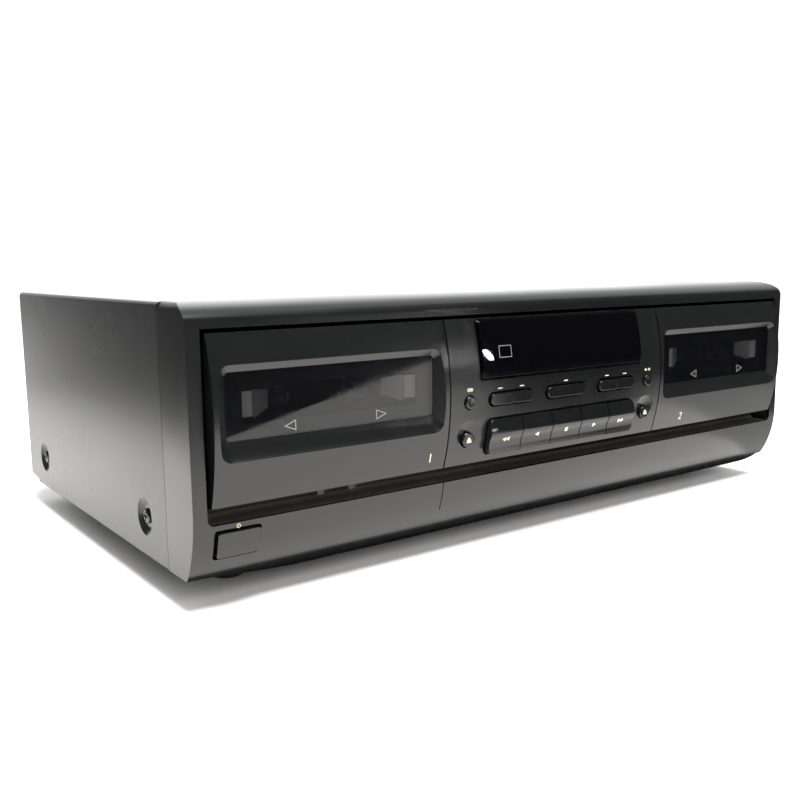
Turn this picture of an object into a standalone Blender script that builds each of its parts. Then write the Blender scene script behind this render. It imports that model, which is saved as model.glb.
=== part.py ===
# Double cassette deck: a steel case, a moulded front, two tape doors and the drives behind them.
# X runs to the right, Y to the back and Z up. The origin is on the floor, under the middle.
# Every place is worked out from the sizes below, from the floor up and from the front panel back.
import math

import bmesh
import bpy
from mathutils import Matrix, Vector

MM = 0.001

# Clearances and drawing steps
GAP = 0.3 * MM
SHAFT_PLAY = 0.35 * MM
KEY_PLAY = 0.4 * MM
OVERRUN = 2.0 * MM
MERGE = 0.01 * MM
ROUND_STEPS = 28
SMALL_STEPS = 12
ARC_STEPS = 12
CORNER_STEPS = 4
RIM_STEPS = 3
PILL_SHARE = 0.98

# Compact cassette, the standard size that the doors and drives are built round
CASSETTE_W = 100.4 * MM
CASSETTE_H = 63.8 * MM
CASSETTE_T = 12.0 * MM
HUB_SPACING = 42.5 * MM
HUB_HEIGHT = 34.6 * MM
CAPSTAN_SPACING = 46.0 * MM
CAPSTAN_HEIGHT = 9.5 * MM

# Front, across
DOOR_BORDER = 12.3 * MM
DOOR_SLIT = 0.8 * MM
DOOR_SIDE_GAP = 2.1 * MM
CENTRE_W = 161.2 * MM
END_STRIP_W = 6.5 * MM

# Front, up and down
FOOT_H = 12.2 * MM
SHEET = 1.0 * MM
COVER_LIFT = 3.5 * MM
LOWER_FRONT_H = 24.8 * MM
CHANNEL_H = 7.7 * MM
CASSETTE_ABOVE_DOOR_EDGE = 7.6 * MM
DOOR_TOP_ABOVE_CASSETTE = 2.9 * MM
DOOR_TOP_GAP = 1.9 * MM
TOP_STRIP_H = 11.3 * MM
FRONT_PROUD = 0.6 * MM

# Front to back
CASE_DEPTH = 262.0 * MM
FRONT_DEPTH = 29.5 * MM
BULGE = 6.0 * MM
ROUND_KEY_PROUD = 2.6 * MM
JACK_REACH = 8.0 * MM

# Moulded front panel
PLASTIC = 2.4 * MM
WELL_WALL = 2.0 * MM
WELL_BACK = 20.7 * MM
CHANNEL_DEPTH = 13.9 * MM
CHANNEL_BACK_H = 3.8 * MM
RIB_INSET = 1.3 * MM
TOP_EDGE_R = 2.0 * MM
FRONT_CORNER_R = 5.0 * MM
LOWER_CURVE_R = 60.5 * MM
LOWER_CURVE_RISE = 7.2 * MM
LIP_DROP = 7.7 * MM
END_DROP = 0.4 * MM
SIDE_DROP = 3.2 * MM
LIP_T = 2.5 * MM
SEAM_ABOVE_CASE = 10.0 * MM
SEAM_W = 0.8 * MM
SEAM_DEPTH = 0.6 * MM

# Tape door
DOOR_BACK = 3.2 * MM
RIM_SIDE = 3.8 * MM
RIM_TOP = 11.8 * MM
RIM_BOTTOM = 19.5 * MM
GLASS_SIDE = 3.3 * MM
GLASS_TOP = 4.8 * MM
GLASS_BOTTOM = 8.5 * MM
GLASS_SINK = 4.5 * MM
GLASS_T = 2.0 * MM
GLASS_LEDGE = 1.2 * MM
RIM_CORNER_R = 4.5 * MM

# Cassette holder and its hinge
CASSETTE_PLAY = 0.4 * MM
HOLDER_WALL = 2.8 * MM
HOLDER_SKIN = 1.3 * MM
HOLDER_LIP_W = 5.0 * MM
HOLDER_BAR_H = 6.0 * MM
HOLDER_TOP_CUT = 1.9 * MM
SHELF_T = 2.5 * MM
SHELF_W = 22.4 * MM
HINGE_BACK = 9.0 * MM
HINGE_RISE = 1.5 * MM
HINGE_BOSS_R = 4.0 * MM
HINGE_NECK_SHARE = 0.9
HINGE_PIN_R = 1.8 * MM
HINGE_PIN_REACH = 3.4 * MM

# Mechanism plate
PLATE_CLEAR = 2.6 * MM
PLATE_T = 1.2 * MM
PLATE_BOTTOM_BELOW_DOOR = 4.5 * MM
PLATE_TOP_BELOW_DOOR = 0.8 * MM
PLATE_LAP = 1.0 * MM
EAR_T = 1.5 * MM
EAR_PLAY = 1.2 * MM
EAR_R = 5.0 * MM
EAR_END_SHARE = 0.8
BEARING_R = 4.0 * MM
BEARING_REACH = 19.5 * MM

# Reel spindle
SPINDLE_TIP_BACK = 9.3 * MM
SPINDLE_TIP_R = 1.8 * MM
SPINDLE_TAPER = 2.0 * MM
SPINDLE_R = 3.3 * MM
SPINDLE_FIN = 1.2 * MM
SPINDLE_FIN_T = 1.4 * MM
SPINDLE_COLLAR_R = 6.2 * MM
SPINDLE_COLLAR_T = 2.8 * MM
SPINDLE_NECK_R = 2.8 * MM
SPINDLE_GEAR_R = 9.8 * MM
SPINDLE_GEAR_T = 3.0 * MM
FINS = 3

# Capstan and flywheel
CAPSTAN_TIP_BACK = 10.0 * MM
CAPSTAN_R = 1.25 * MM
FLYWHEEL_R = 21.5 * MM
FLYWHEEL_T = 8.0 * MM
FLYWHEEL_HUB_R = 6.0 * MM
FLYWHEEL_DISH = 3.0 * MM
FLYWHEEL_RIM_W = 5.0 * MM

# Motor, pulley and belt
MOTOR_R = 13.5 * MM
MOTOR_OUT = 50.0 * MM
MOTOR_ABOVE_CAPSTAN = 39.0 * MM
MOTOR_BOSS_R = 5.0 * MM
MOTOR_BOSS_T = 1.2 * MM
PULLEY_R = 4.0 * MM
PULLEY_FLANGE = 1.4 * MM
PULLEY_FLANGE_T = 1.0 * MM
PULLEY_SHAFT_R = 1.0 * MM
PULLEY_SHAFT_IN = 5.0 * MM
BELT_W = 3.0 * MM
BELT_T = 0.8 * MM
BELT_ARC_POINTS = 14

# Head bridge
BRIDGE_HALF_W = 28.2 * MM
BRIDGE_H = 8.6 * MM
BRIDGE_T = 1.5 * MM
BRIDGE_DROP = 1.2 * MM
HEAD_W = 12.6 * MM
HEAD_H = 5.6 * MM
HEAD_FRONT = 7.0 * MM
ROLLER_R = 4.4 * MM
ROLLER_L = 6.5 * MM
ROLLER_FRONT = 11.0 * MM
ROLLER_AXLE_R = 1.2 * MM

# Centre panel
CENTRE_BACK = 5.0 * MM
DISPLAY_SIDE = 19.1 * MM
DISPLAY_TOP = 0.5 * MM
DISPLAY_H = 31.0 * MM
DISPLAY_PROUD = 2.2 * MM
DISPLAY_BEVEL_TOP = 1.6 * MM
DISPLAY_BEVEL_BOTTOM = 3.4 * MM
DISPLAY_PLUG_INSET = 4.8 * MM
DISPLAY_PLUG_BACK = 1.5 * MM
ROUND_KEY_SIDE = 12.1 * MM
ROUND_KEY_DROP = 4.4 * MM
ROUND_KEY_R = 3.4 * MM
OPEN_KEY_DROP = 23.7 * MM
OPEN_KEY_R = 3.9 * MM
OPEN_KEY_PROUD = 2.4 * MM
DISH_R = 5.8 * MM
DISH_DEPTH = 0.9 * MM
SMALL_KEY_DROP = 4.3 * MM
SMALL_KEY_SIDE = 25.0 * MM
SMALL_KEY_GAP = 10.6 * MM
SMALL_KEY_H = 6.4 * MM
SMALL_KEY_PROUD = 1.6 * MM
TAPE_KEY_SIDE = 24.6 * MM
TAPE_KEYS = 5
TAPE_KEY_H = 18.4 * MM
TAPE_KEY_RISE = 4.1 * MM
TAPE_KEY_TOP_OUT = 6.6 * MM
TAPE_KEY_CREST_OUT = 8.3 * MM
TAPE_KEY_HOLLOW_OUT = 5.9 * MM
TAPE_KEY_FOOT_OUT = 5.6 * MM
TAPE_KEY_HEIGHT_SHARES = (1.0, 0.82, 0.62, 0.46, 0.32, 0.14, 0.0)
TAPE_KEY_BACK = 3.5 * MM
KEY_TRAVEL = 1.2 * MM
KEY_STEM = 3.6 * MM
KEY_BACK = 3.0 * MM

# Key circuit board and display tube
KEY_BOARD_BACK = 14.0 * MM
BOARD_T = 1.6 * MM
KEY_BOARD_TOP_BELOW_DOOR = 1.4 * MM
SWITCH_R = 1.9 * MM
SWITCH_REACH = 4.5 * MM
TUBE_SIDE = 11.5 * MM
TUBE_H = 18.0 * MM
TUBE_T = 7.2 * MM

# Power button
POWER_SIDE = 14.5 * MM
POWER_W = 20.4 * MM
POWER_H = 11.6 * MM
POWER_BELOW_CHANNEL = 3.6 * MM
POWER_PROUD = 0.9 * MM
POWER_LENGTH = 16.0 * MM
POWER_CORNER_R = 1.5 * MM

# Case
COVER_BEND_R = 2.5 * MM
COVER_LIP_H = 12.0 * MM
COVER_CORNER_L = 25.0 * MM
COVER_CORNER_H = 2.6 * MM
CHASSIS_INSET = 3.4 * MM
CHASSIS_WALL_H = 29.5 * MM
REAR_SETBACK = 1.3 * MM

# Case screws
SCREW_RISE = 18.4 * MM
SCREW_FRONT = 57.0 * MM
SCREW_FROM_REAR = 35.0 * MM
DIMPLE_R = 9.0 * MM
DIMPLE_FLOOR_R = 5.5 * MM
DIMPLE_DEPTH = 2.0 * MM
DIMPLE_SKIRT = 1.4 * MM
SCREW_HEAD_R = 3.6 * MM
SCREW_HEAD_T = 1.5 * MM
SCREW_R = 1.8 * MM
SCREW_L = 6.5 * MM
SCREW_SLOT_W = 0.9 * MM
SCREW_CROWN_SHARE = 0.7
SCREW_SLOT_SHARE = 0.6

# Feet
FOOT_R = 15.0 * MM
FOOT_TOP_R = 12.5 * MM
FOOT_EDGE = 1.2 * MM
FOOT_IN = 38.0 * MM
FOOT_FRONT = 52.0 * MM
FOOT_REAR = 36.0 * MM

# Main circuit board
MAIN_BOARD_W = 250.0 * MM
MAIN_BOARD_D = 150.0 * MM
MAIN_BOARD_FROM_SIDE = 45.0 * MM
MAIN_BOARD_FROM_REAR = 26.0 * MM
MAIN_BOARD_RISE = 8.0 * MM
POST_R = 3.0 * MM
POST_INSET = 8.0 * MM
CAN_R = 6.5 * MM
CAN_H = 22.0 * MM
CAN_PITCH = 19.0 * MM
CANS = 4
CHIP_W = 32.0 * MM
CHIP_D = 12.0 * MM
CHIP_H = 5.0 * MM
CHIP_PITCH = 48.0 * MM
CHIPS = 3
SINK_W = 46.0 * MM
SINK_T = 3.0 * MM
SINK_H = 34.0 * MM

# Transformer
CORE_W = 57.0 * MM
CORE_D = 34.0 * MM
CORE_H = 48.0 * MM
COIL_OUT = 11.0 * MM
COIL_W = 34.0 * MM
COIL_H = 30.0 * MM
CORE_FROM_SIDE = 65.0 * MM
CORE_FROM_REAR = 62.0 * MM
CORE_FOOT_T = 2.0 * MM
CORE_FOOT_W = 76.0 * MM

# Rear sockets
JACK_FROM_SIDE = 67.0 * MM
JACK_RISE = 62.0 * MM
JACK_PITCH = 19.0 * MM
JACK_R = 4.2 * MM
JACK_BORE_R = 1.7 * MM
JACK_BORE_DEPTH = 7.0 * MM
JACK_NUT_R = 6.0 * MM
JACK_NUT_T = 1.6 * MM
JACK_BLOCK_D = 14.0 * MM
JACK_BLOCK_BORDER = 9.0 * MM
INLET_FROM_SIDE = 65.0 * MM
INLET_RISE = 38.0 * MM
INLET_W = 27.0 * MM
INLET_H = 17.0 * MM
INLET_BODY_D = 15.0 * MM
INLET_FLANGE = 3.0 * MM
INLET_FLANGE_T = 2.0 * MM
INLET_WALL = 2.6 * MM
INLET_CAVITY_D = 13.0 * MM

# Widths and heights that follow from the sizes above
DOOR_W = CASSETTE_W + 2 * DOOR_BORDER
DOOR_X = CENTRE_W / 2 + DOOR_SLIT + DOOR_W / 2
RECESS_X = DOOR_X + DOOR_W / 2 + DOOR_SIDE_GAP
CASE_X = RECESS_X + END_STRIP_W
POWER_X = RECESS_X - POWER_SIDE
MAIN_BOARD_X = CASE_X - MAIN_BOARD_FROM_SIDE - MAIN_BOARD_W / 2
CORE_X = CASE_X - CORE_FROM_SIDE
JACK_X = CASE_X - JACK_FROM_SIDE
INLET_X = CASE_X - INLET_FROM_SIDE
CHASSIS_Z = FOOT_H + GAP
CASE_Z = CHASSIS_Z + COVER_LIFT
CHANNEL_Z = CASE_Z + LOWER_FRONT_H
DOOR_Z = CHANNEL_Z + CHANNEL_H
CASSETTE_Z = DOOR_Z + CASSETTE_ABOVE_DOOR_EDGE
DOOR_TOP = CASSETTE_Z + CASSETTE_H + DOOR_TOP_ABOVE_CASSETTE
RECESS_TOP = DOOR_TOP + DOOR_TOP_GAP
FRONT_TOP = RECESS_TOP + TOP_STRIP_H
COVER_TOP = FRONT_TOP - FRONT_PROUD
DOOR_MID = (DOOR_Z + DOOR_TOP) / 2
HALF_CHORD = (DOOR_TOP - DOOR_Z) / 2
BULGE_R = (HALF_CHORD ** 2 + BULGE ** 2) / (2 * BULGE)
LOWER_CURVE_Z = CHANNEL_Z + LOWER_CURVE_RISE

# Depths, from the plane of the front panel
FRONTMOST = BULGE + ROUND_KEY_PROUD
FACE_Y = (FRONTMOST - CASE_DEPTH - JACK_REACH) / 2
CASE_FRONT_Y = FACE_Y + FRONT_DEPTH + GAP
CASE_REAR_Y = FACE_Y + CASE_DEPTH
REAR_PANEL_Y = CASE_REAR_Y - REAR_SETBACK
CHASSIS_REAR_Y = REAR_PANEL_Y - SHEET - GAP
HOLDER_Y = FACE_Y + DOOR_BACK + GAP
SLOT_Y = HOLDER_Y + HOLDER_SKIN
SLOT_BACK_Y = SLOT_Y + CASSETTE_T + CASSETTE_PLAY
HOLDER_BACK_Y = SLOT_BACK_Y + HOLDER_SKIN
PLATE_Y = HOLDER_BACK_Y + PLATE_CLEAR
PLATE_BACK_Y = PLATE_Y + PLATE_T
HINGE_Y = FACE_Y + HINGE_BACK
HINGE_Z = DOOR_Z + HINGE_RISE
GLASS_Y = FACE_Y - BULGE + GLASS_SINK
KEY_BOARD_Y = FACE_Y + KEY_BOARD_BACK
SWITCH_Y = KEY_BOARD_Y - SWITCH_REACH
KEY_END_Y = SWITCH_Y - GAP - KEY_TRAVEL
FLYWHEEL_Y = PLATE_BACK_Y + BEARING_REACH + GAP * 2
BELT_Y = FLYWHEEL_Y + FLYWHEEL_T / 2
MOTOR_REAR_Y = FLYWHEEL_Y - MOTOR_BOSS_T - GAP

# Places on the mechanism, from the middle of a door
HOLDER_INNER_X = CASSETTE_W / 2 + CASSETTE_PLAY
HOLDER_OUTER_X = HOLDER_INNER_X + HOLDER_WALL
SHELF_Z = CASSETTE_Z - GAP - SHELF_T
HOLDER_TOP = CASSETTE_Z + CASSETTE_H - HOLDER_TOP_CUT
HUB_Z = CASSETTE_Z + HUB_HEIGHT
CAPSTAN_Z = CASSETTE_Z + CAPSTAN_HEIGHT
MOTOR_Z = CAPSTAN_Z + MOTOR_ABOVE_CAPSTAN
BRIDGE_TOP = CASSETTE_Z - BRIDGE_DROP
ROLLER_Z = BRIDGE_TOP - ROLLER_R
RIB_X = CENTRE_W / 2 - RIB_INSET - WELL_WALL
PLATE_HALF_W = RECESS_X + PLATE_LAP - DOOR_X

# Places and widths on the centre panel
DISPLAY_W = CENTRE_W - 2 * DISPLAY_SIDE
TUBE_W = DISPLAY_W - 2 * TUBE_SIDE
ROUND_KEY_X = CENTRE_W / 2 - ROUND_KEY_SIDE
SMALL_KEY_W = (CENTRE_W - 2 * SMALL_KEY_SIDE - 2 * SMALL_KEY_GAP) / 3
SMALL_KEY_SPACING = SMALL_KEY_W + SMALL_KEY_GAP
TAPE_KEY_PITCH = (CENTRE_W - 2 * TAPE_KEY_SIDE) / TAPE_KEYS
DISPLAY_TOP_Z = DOOR_TOP - DISPLAY_TOP
ROUND_KEY_Z = DOOR_MID - ROUND_KEY_DROP
OPEN_KEY_Z = DOOR_MID - OPEN_KEY_DROP
SMALL_KEY_Z = DOOR_MID - SMALL_KEY_DROP
TAPE_KEY_Z = DOOR_Z + TAPE_KEY_RISE

# Finishes: colour, roughness, metallic
CHARCOAL = ((0.045, 0.047, 0.048, 1.0), 0.42, 0.0)
DARK_PLASTIC = ((0.012, 0.012, 0.014, 1.0), 0.55, 0.0)
GLOSS_BLACK = ((0.006, 0.006, 0.009, 1.0), 0.06, 0.0)
CASE_PAINT = ((0.055, 0.057, 0.058, 1.0), 0.38, 0.3)
ZINC = ((0.62, 0.62, 0.60, 1.0), 0.35, 1.0)
BRIGHT_STEEL = ((0.75, 0.75, 0.76, 1.0), 0.18, 1.0)
RUBBER = ((0.015, 0.015, 0.015, 1.0), 0.85, 0.0)
BOARD_GREEN = ((0.25, 0.16, 0.05, 1.0), 0.6, 0.0)
CORE_IRON = ((0.16, 0.15, 0.15, 1.0), 0.5, 0.8)
WHITE_PLASTIC = ((0.72, 0.71, 0.67, 1.0), 0.45, 0.0)


def clear_scene():
    """Remove what the scene holds, without closing the file."""
    for thing in list(bpy.data.objects):
        bpy.data.objects.remove(thing, do_unlink=True)


def new_collection(name):
    """Make a collection and put it in the scene."""
    collection = bpy.data.collections.new(name)
    bpy.context.scene.collection.children.link(collection)
    return collection


clear_scene()
DECK = new_collection("cassette_deck")
CUTTERS = new_collection("cutters")


def finish(thing, look):
    """Put a finished piece in the deck, with a material of its own."""
    colour, roughness, metallic = look
    material = bpy.data.materials.new(thing.name)
    material.use_nodes = True
    shader = material.node_tree.nodes["Principled BSDF"]
    shader.inputs["Base Color"].default_value = colour
    shader.inputs["Roughness"].default_value = roughness
    shader.inputs["Metallic"].default_value = metallic
    thing.data.materials.append(material)
    DECK.objects.link(thing)
    return thing


def set_origin(thing, point):
    """Move a piece's origin to a point, and leave its shape where it is."""
    thing.data.transform(Matrix.Translation(-Vector(point)))
    thing.location = point


def mesh_object(name, shape):
    """Turn a bmesh into an object that is in no collection yet."""
    mesh = bpy.data.meshes.new(name)
    shape.to_mesh(mesh)
    shape.free()
    return bpy.data.objects.new(name, mesh)


def block(name, low, high):
    """A box between two corners."""
    low, high = Vector(low), Vector(high)
    shape = bmesh.new()
    bmesh.ops.create_cube(shape, size=1)
    bmesh.ops.scale(shape, vec=high - low, verts=shape.verts)
    bmesh.ops.translate(shape, vec=(low + high) / 2, verts=shape.verts)
    return mesh_object(name, shape)


def rod(name, radius, start, end, steps=SMALL_STEPS):
    """A cylinder from one point to another."""
    start, end = Vector(start), Vector(end)
    along = end - start
    turn = Vector((0, 0, 1)).rotation_difference(along).to_matrix().to_4x4()
    shape = bmesh.new()
    bmesh.ops.create_cone(
        shape, cap_ends=True, segments=steps, radius1=radius, radius2=radius, depth=along.length,
        matrix=Matrix.Translation((start + end) / 2) @ turn)
    return mesh_object(name, shape)


def funnel(name, start_radius, end_radius, start, end, steps=ROUND_STEPS):
    """A cone frustum from one point to another."""
    start, end = Vector(start), Vector(end)
    along = end - start
    turn = Vector((0, 0, 1)).rotation_difference(along).to_matrix().to_4x4()
    shape = bmesh.new()
    bmesh.ops.create_cone(
        shape, cap_ends=True, segments=steps, radius1=start_radius, radius2=end_radius,
        depth=along.length, matrix=Matrix.Translation((start + end) / 2) @ turn)
    return mesh_object(name, shape)


def prism(name, outline, axis, low, high):
    """A flat outline across an axis, thickened from low to high along it.

    The outline's pairs are (y, z) across X, (x, z) across Y and (x, y) across Z.
    """
    curve = bpy.data.curves.new(name, "CURVE")
    curve.dimensions = "2D"
    curve.fill_mode = "BOTH"
    curve.extrude = (high - low) / 2
    spline = curve.splines.new("POLY")
    spline.points.add(len(outline) - 1)
    for point, (across, up) in zip(spline.points, outline):
        point.co = (across, up, 0, 1)
    spline.use_cyclic_u = True
    drawn = bpy.data.objects.new(name, curve)
    CUTTERS.objects.link(drawn)
    graph = bpy.context.evaluated_depsgraph_get()
    mesh = bpy.data.meshes.new_from_object(drawn.evaluated_get(graph))
    bpy.data.objects.remove(drawn)
    bpy.data.curves.remove(curve)
    turns = {
        "X": Matrix(((0, 0, 1, 0), (1, 0, 0, 0), (0, 1, 0, 0), (0, 0, 0, 1))),
        "Y": Matrix(((1, 0, 0, 0), (0, 0, -1, 0), (0, 1, 0, 0), (0, 0, 0, 1))),
        "Z": Matrix.Identity(4),
    }
    middle = Vector(((axis == "X"), (axis == "Y"), (axis == "Z"))) * ((low + high) / 2)
    shape = bmesh.new()
    shape.from_mesh(mesh)
    bmesh.ops.remove_doubles(shape, verts=shape.verts, dist=MERGE)
    bmesh.ops.transform(shape, matrix=Matrix.Translation(middle) @ turns[axis], verts=shape.verts)
    bmesh.ops.recalc_face_normals(shape, faces=shape.faces)
    bpy.data.meshes.remove(mesh)
    return mesh_object(name, shape)


def turned(name, profile, centre, facing, steps=ROUND_STEPS):
    """A turned piece: (radius, reach) pairs from its tip down, turned about a line through centre.

    Facing front points the tip to -Y, facing up to +Z, and facing left or right to -X or +X.
    """
    mesh = bpy.data.meshes.new(name)
    points = [(radius, 0, reach) for radius, reach in profile]
    mesh.from_pydata(points, [(at, at + 1) for at in range(len(points) - 1)], [])
    thing = bpy.data.objects.new(name, mesh)
    thing.location = centre
    quarter = math.pi / 2
    thing.rotation_euler = {
        "front": (quarter, 0, 0), "up": (0, 0, 0), "left": (0, -quarter, 0), "right": (0, quarter, 0),
    }[facing]
    screw = thing.modifiers.new("turn", "SCREW")
    screw.steps = steps
    screw.render_steps = steps
    screw.use_merge_vertices = True
    screw.merge_threshold = MERGE
    screw.use_smooth_shade = True
    return thing


def apply(thing, operation, tools):
    """Add one Boolean for each tool, and shelve the tools with the cutters."""
    for tool in tools:
        step = thing.modifiers.new(tool.name, "BOOLEAN")
        step.operation = operation
        step.solver = "EXACT"
        step.object = tool
        tool.hide_render = True
        tool.display_type = "WIRE"
        CUTTERS.objects.link(tool)
    return thing


def cut(thing, *tools):
    """Take the tools' shapes out of a piece."""
    return apply(thing, "DIFFERENCE", tools)


def add(thing, *tools):
    """Weld the tools' shapes onto a piece."""
    return apply(thing, "UNION", tools)


def arc(centre, radius, start, end, steps):
    """Points on an arc about (a, b), with its angles in degrees."""
    points = []
    for at in range(steps + 1):
        angle = math.radians(start + (end - start) * at / steps)
        points.append((centre[0] + radius * math.cos(angle), centre[1] + radius * math.sin(angle)))
    return points


def rounded(left, right, low, high, radii):
    """A rectangle with a radius for each corner: low left, low right, high right, high left."""
    corners = ((left, low, 1, 1, 180), (right, low, -1, 1, 270), (right, high, -1, -1, 0),
               (left, high, 1, -1, 90))
    points = []
    for (across, up, step_across, step_up, start), radius in zip(corners, radii):
        if radius == 0:
            points.append((across, up))
            continue
        centre = (across + step_across * radius, up + step_up * radius)
        points += arc(centre, radius, start, start + 90, CORNER_STEPS)
    return points


def bulge_y(height, out=0.0):
    """Where the bulged front lies at a height, moved out by a distance along the radius."""
    reach = math.sqrt((BULGE_R + out) ** 2 - (height - DOOR_MID) ** 2)
    return FACE_Y - (reach - BULGE_R + BULGE)


def bulge_line(low, high, out=0.0):
    """Points up the bulged front between two heights."""
    heights = [low + (high - low) * at / ARC_STEPS for at in range(ARC_STEPS + 1)]
    return [(bulge_y(height, out), height) for height in heights]


def lower_y(height, inside=0.0):
    """Where the lower front lies at a height, as it curves back under the deck."""
    if height >= LOWER_CURVE_Z:
        return FACE_Y + inside
    reach = math.sqrt((LOWER_CURVE_R - inside) ** 2 - (LOWER_CURVE_Z - height) ** 2)
    return FACE_Y + LOWER_CURVE_R - reach


def lower_line(low, high, inside=0.0):
    """Points up the curved lower front between two heights."""
    heights = [low + (high - low) * at / ARC_STEPS for at in range(ARC_STEPS + 1)]
    return [(lower_y(height, inside), height) for height in heights]


def make_front_panel():
    """The moulded front: a shell with a lip below, and one recess for the doors and the keys."""
    back = FACE_Y + FRONT_DEPTH
    lip_z = CASE_Z - LIP_DROP
    floor_z = CASE_Z - SIDE_DROP
    outline = lower_line(lip_z, LOWER_CURVE_Z)
    outline += arc((FACE_Y + TOP_EDGE_R, FRONT_TOP - TOP_EDGE_R), TOP_EDGE_R, 180, 90, CORNER_STEPS)
    outline += [(back, FRONT_TOP), (back, floor_z), (lower_y(lip_z) + LIP_T, floor_z),
                (lower_y(lip_z) + LIP_T, lip_z)]
    panel = prism("front_panel", outline, "X", -CASE_X, CASE_X)
    corners = (0, 0, FRONT_CORNER_R, FRONT_CORNER_R)
    frame = prism("front_corners", rounded(-CASE_X, CASE_X, lip_z - OVERRUN, FRONT_TOP, corners),
                  "Y", FACE_Y - OVERRUN, back + OVERRUN)
    apply(panel, "INTERSECT", [frame])

    inner_floor = floor_z + PLASTIC
    inner = lower_line(inner_floor, LOWER_CURVE_Z, PLASTIC)
    inner += [(FACE_Y + PLASTIC, FRONT_TOP - PLASTIC), (back + OVERRUN, FRONT_TOP - PLASTIC),
              (back + OVERRUN, inner_floor)]
    inner_x = CASE_X - PLASTIC
    cut(panel, prism("front_hollow", inner, "X", -inner_x, inner_x))
    for side in (-1, 1):
        under = [(FACE_Y - OVERRUN, lip_z - OVERRUN), (back + OVERRUN, lip_z - OVERRUN),
                 (back + OVERRUN, floor_z), (back, floor_z), (lower_y(CASE_Z), CASE_Z - END_DROP),
                 (FACE_Y - OVERRUN, CASE_Z - END_DROP)]
        near, far = sorted((side * RECESS_X, side * (CASE_X + OVERRUN)))
        cut(panel, prism("front_end_cut", under, "X", near, far))

    cut(panel, block("front_recess", (-RECESS_X, FACE_Y - OVERRUN, CHANNEL_Z),
                     (RECESS_X, FACE_Y + PLASTIC + OVERRUN, RECESS_TOP)))
    wall_x = RECESS_X + WELL_WALL
    start = FACE_Y + PLASTIC / 2
    well_back = FACE_Y + WELL_BACK
    channel_back = FACE_Y + CHANNEL_DEPTH + WELL_WALL
    add(panel, block("well_roof", (-wall_x, start, RECESS_TOP),
                     (wall_x, well_back, RECESS_TOP + WELL_WALL)))
    add(panel, block("well_floor", (-wall_x, start, CHANNEL_Z - WELL_WALL),
                     (wall_x, channel_back, CHANNEL_Z)))
    add(panel, block("channel_back", (-wall_x, FACE_Y + CHANNEL_DEPTH, CHANNEL_Z - WELL_WALL / 2),
                     (wall_x, channel_back, CHANNEL_Z + CHANNEL_BACK_H)))
    for side in (-1, 1):
        near, far = sorted((side * RECESS_X, side * wall_x))
        add(panel, block("well_side", (near, start, CHANNEL_Z - WELL_WALL),
                         (far, well_back, RECESS_TOP + WELL_WALL)))
        near, far = sorted((side * RIB_X, side * (RIB_X + WELL_WALL)))
        add(panel, block("well_rib", (near, FACE_Y + CENTRE_BACK + GAP, CHANNEL_Z - WELL_WALL / 2),
                         (far, well_back, RECESS_TOP + WELL_WALL / 2)))

    power_top = CHANNEL_Z - POWER_BELOW_CHANNEL
    power = rounded(-POWER_X - POWER_W / 2 - KEY_PLAY, -POWER_X + POWER_W / 2 + KEY_PLAY,
                    power_top - POWER_H - KEY_PLAY, power_top + KEY_PLAY, (POWER_CORNER_R,) * 4)
    cut(panel, prism("power_hole", power, "Y", FACE_Y - OVERRUN, well_back))
    seam_low = CASE_Z + SEAM_ABOVE_CASE
    seam_high = CHANNEL_Z + OVERRUN
    seam = lower_line(seam_low, seam_high, SEAM_DEPTH)
    seam += [(FACE_Y - OVERRUN, seam_high), (FACE_Y - OVERRUN, seam_low)]
    seam_x = CENTRE_W / 2
    cut(panel, prism("front_seam", seam, "X", -seam_x - SEAM_W / 2, -seam_x + SEAM_W / 2))
    return finish(panel, CHARCOAL)


def make_power_button():
    """The power button: a block whose face follows the curved lower front."""
    top = CHANNEL_Z - POWER_BELOW_CHANNEL
    low = top - POWER_H
    back = lower_y(low) + POWER_LENGTH
    face = [(lower_y(height) - POWER_PROUD, height) for height in (low, (low + top) / 2, top)]
    outline = face + [(back, top), (back, low)]
    left, right = -POWER_X - POWER_W / 2, -POWER_X + POWER_W / 2
    button = prism("power_button", outline, "X", left, right)
    frame = prism("power_corners", rounded(left, right, low, top, (POWER_CORNER_R,) * 4),
                  "Y", FACE_Y - OVERRUN, back + OVERRUN)
    apply(button, "INTERSECT", [frame])
    set_origin(button, (-POWER_X, lower_y(low), (low + top) / 2))
    return finish(button, CHARCOAL)


def key_outline(middle, half_width, play=0.0):
    """The pill outline of a small key, wider all round by some play."""
    half_h = SMALL_KEY_H / 2 + play
    return rounded(middle - half_width - play, middle + half_width + play,
                   SMALL_KEY_Z - half_h, SMALL_KEY_Z + half_h, (half_h * PILL_SHARE,) * 4)


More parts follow.
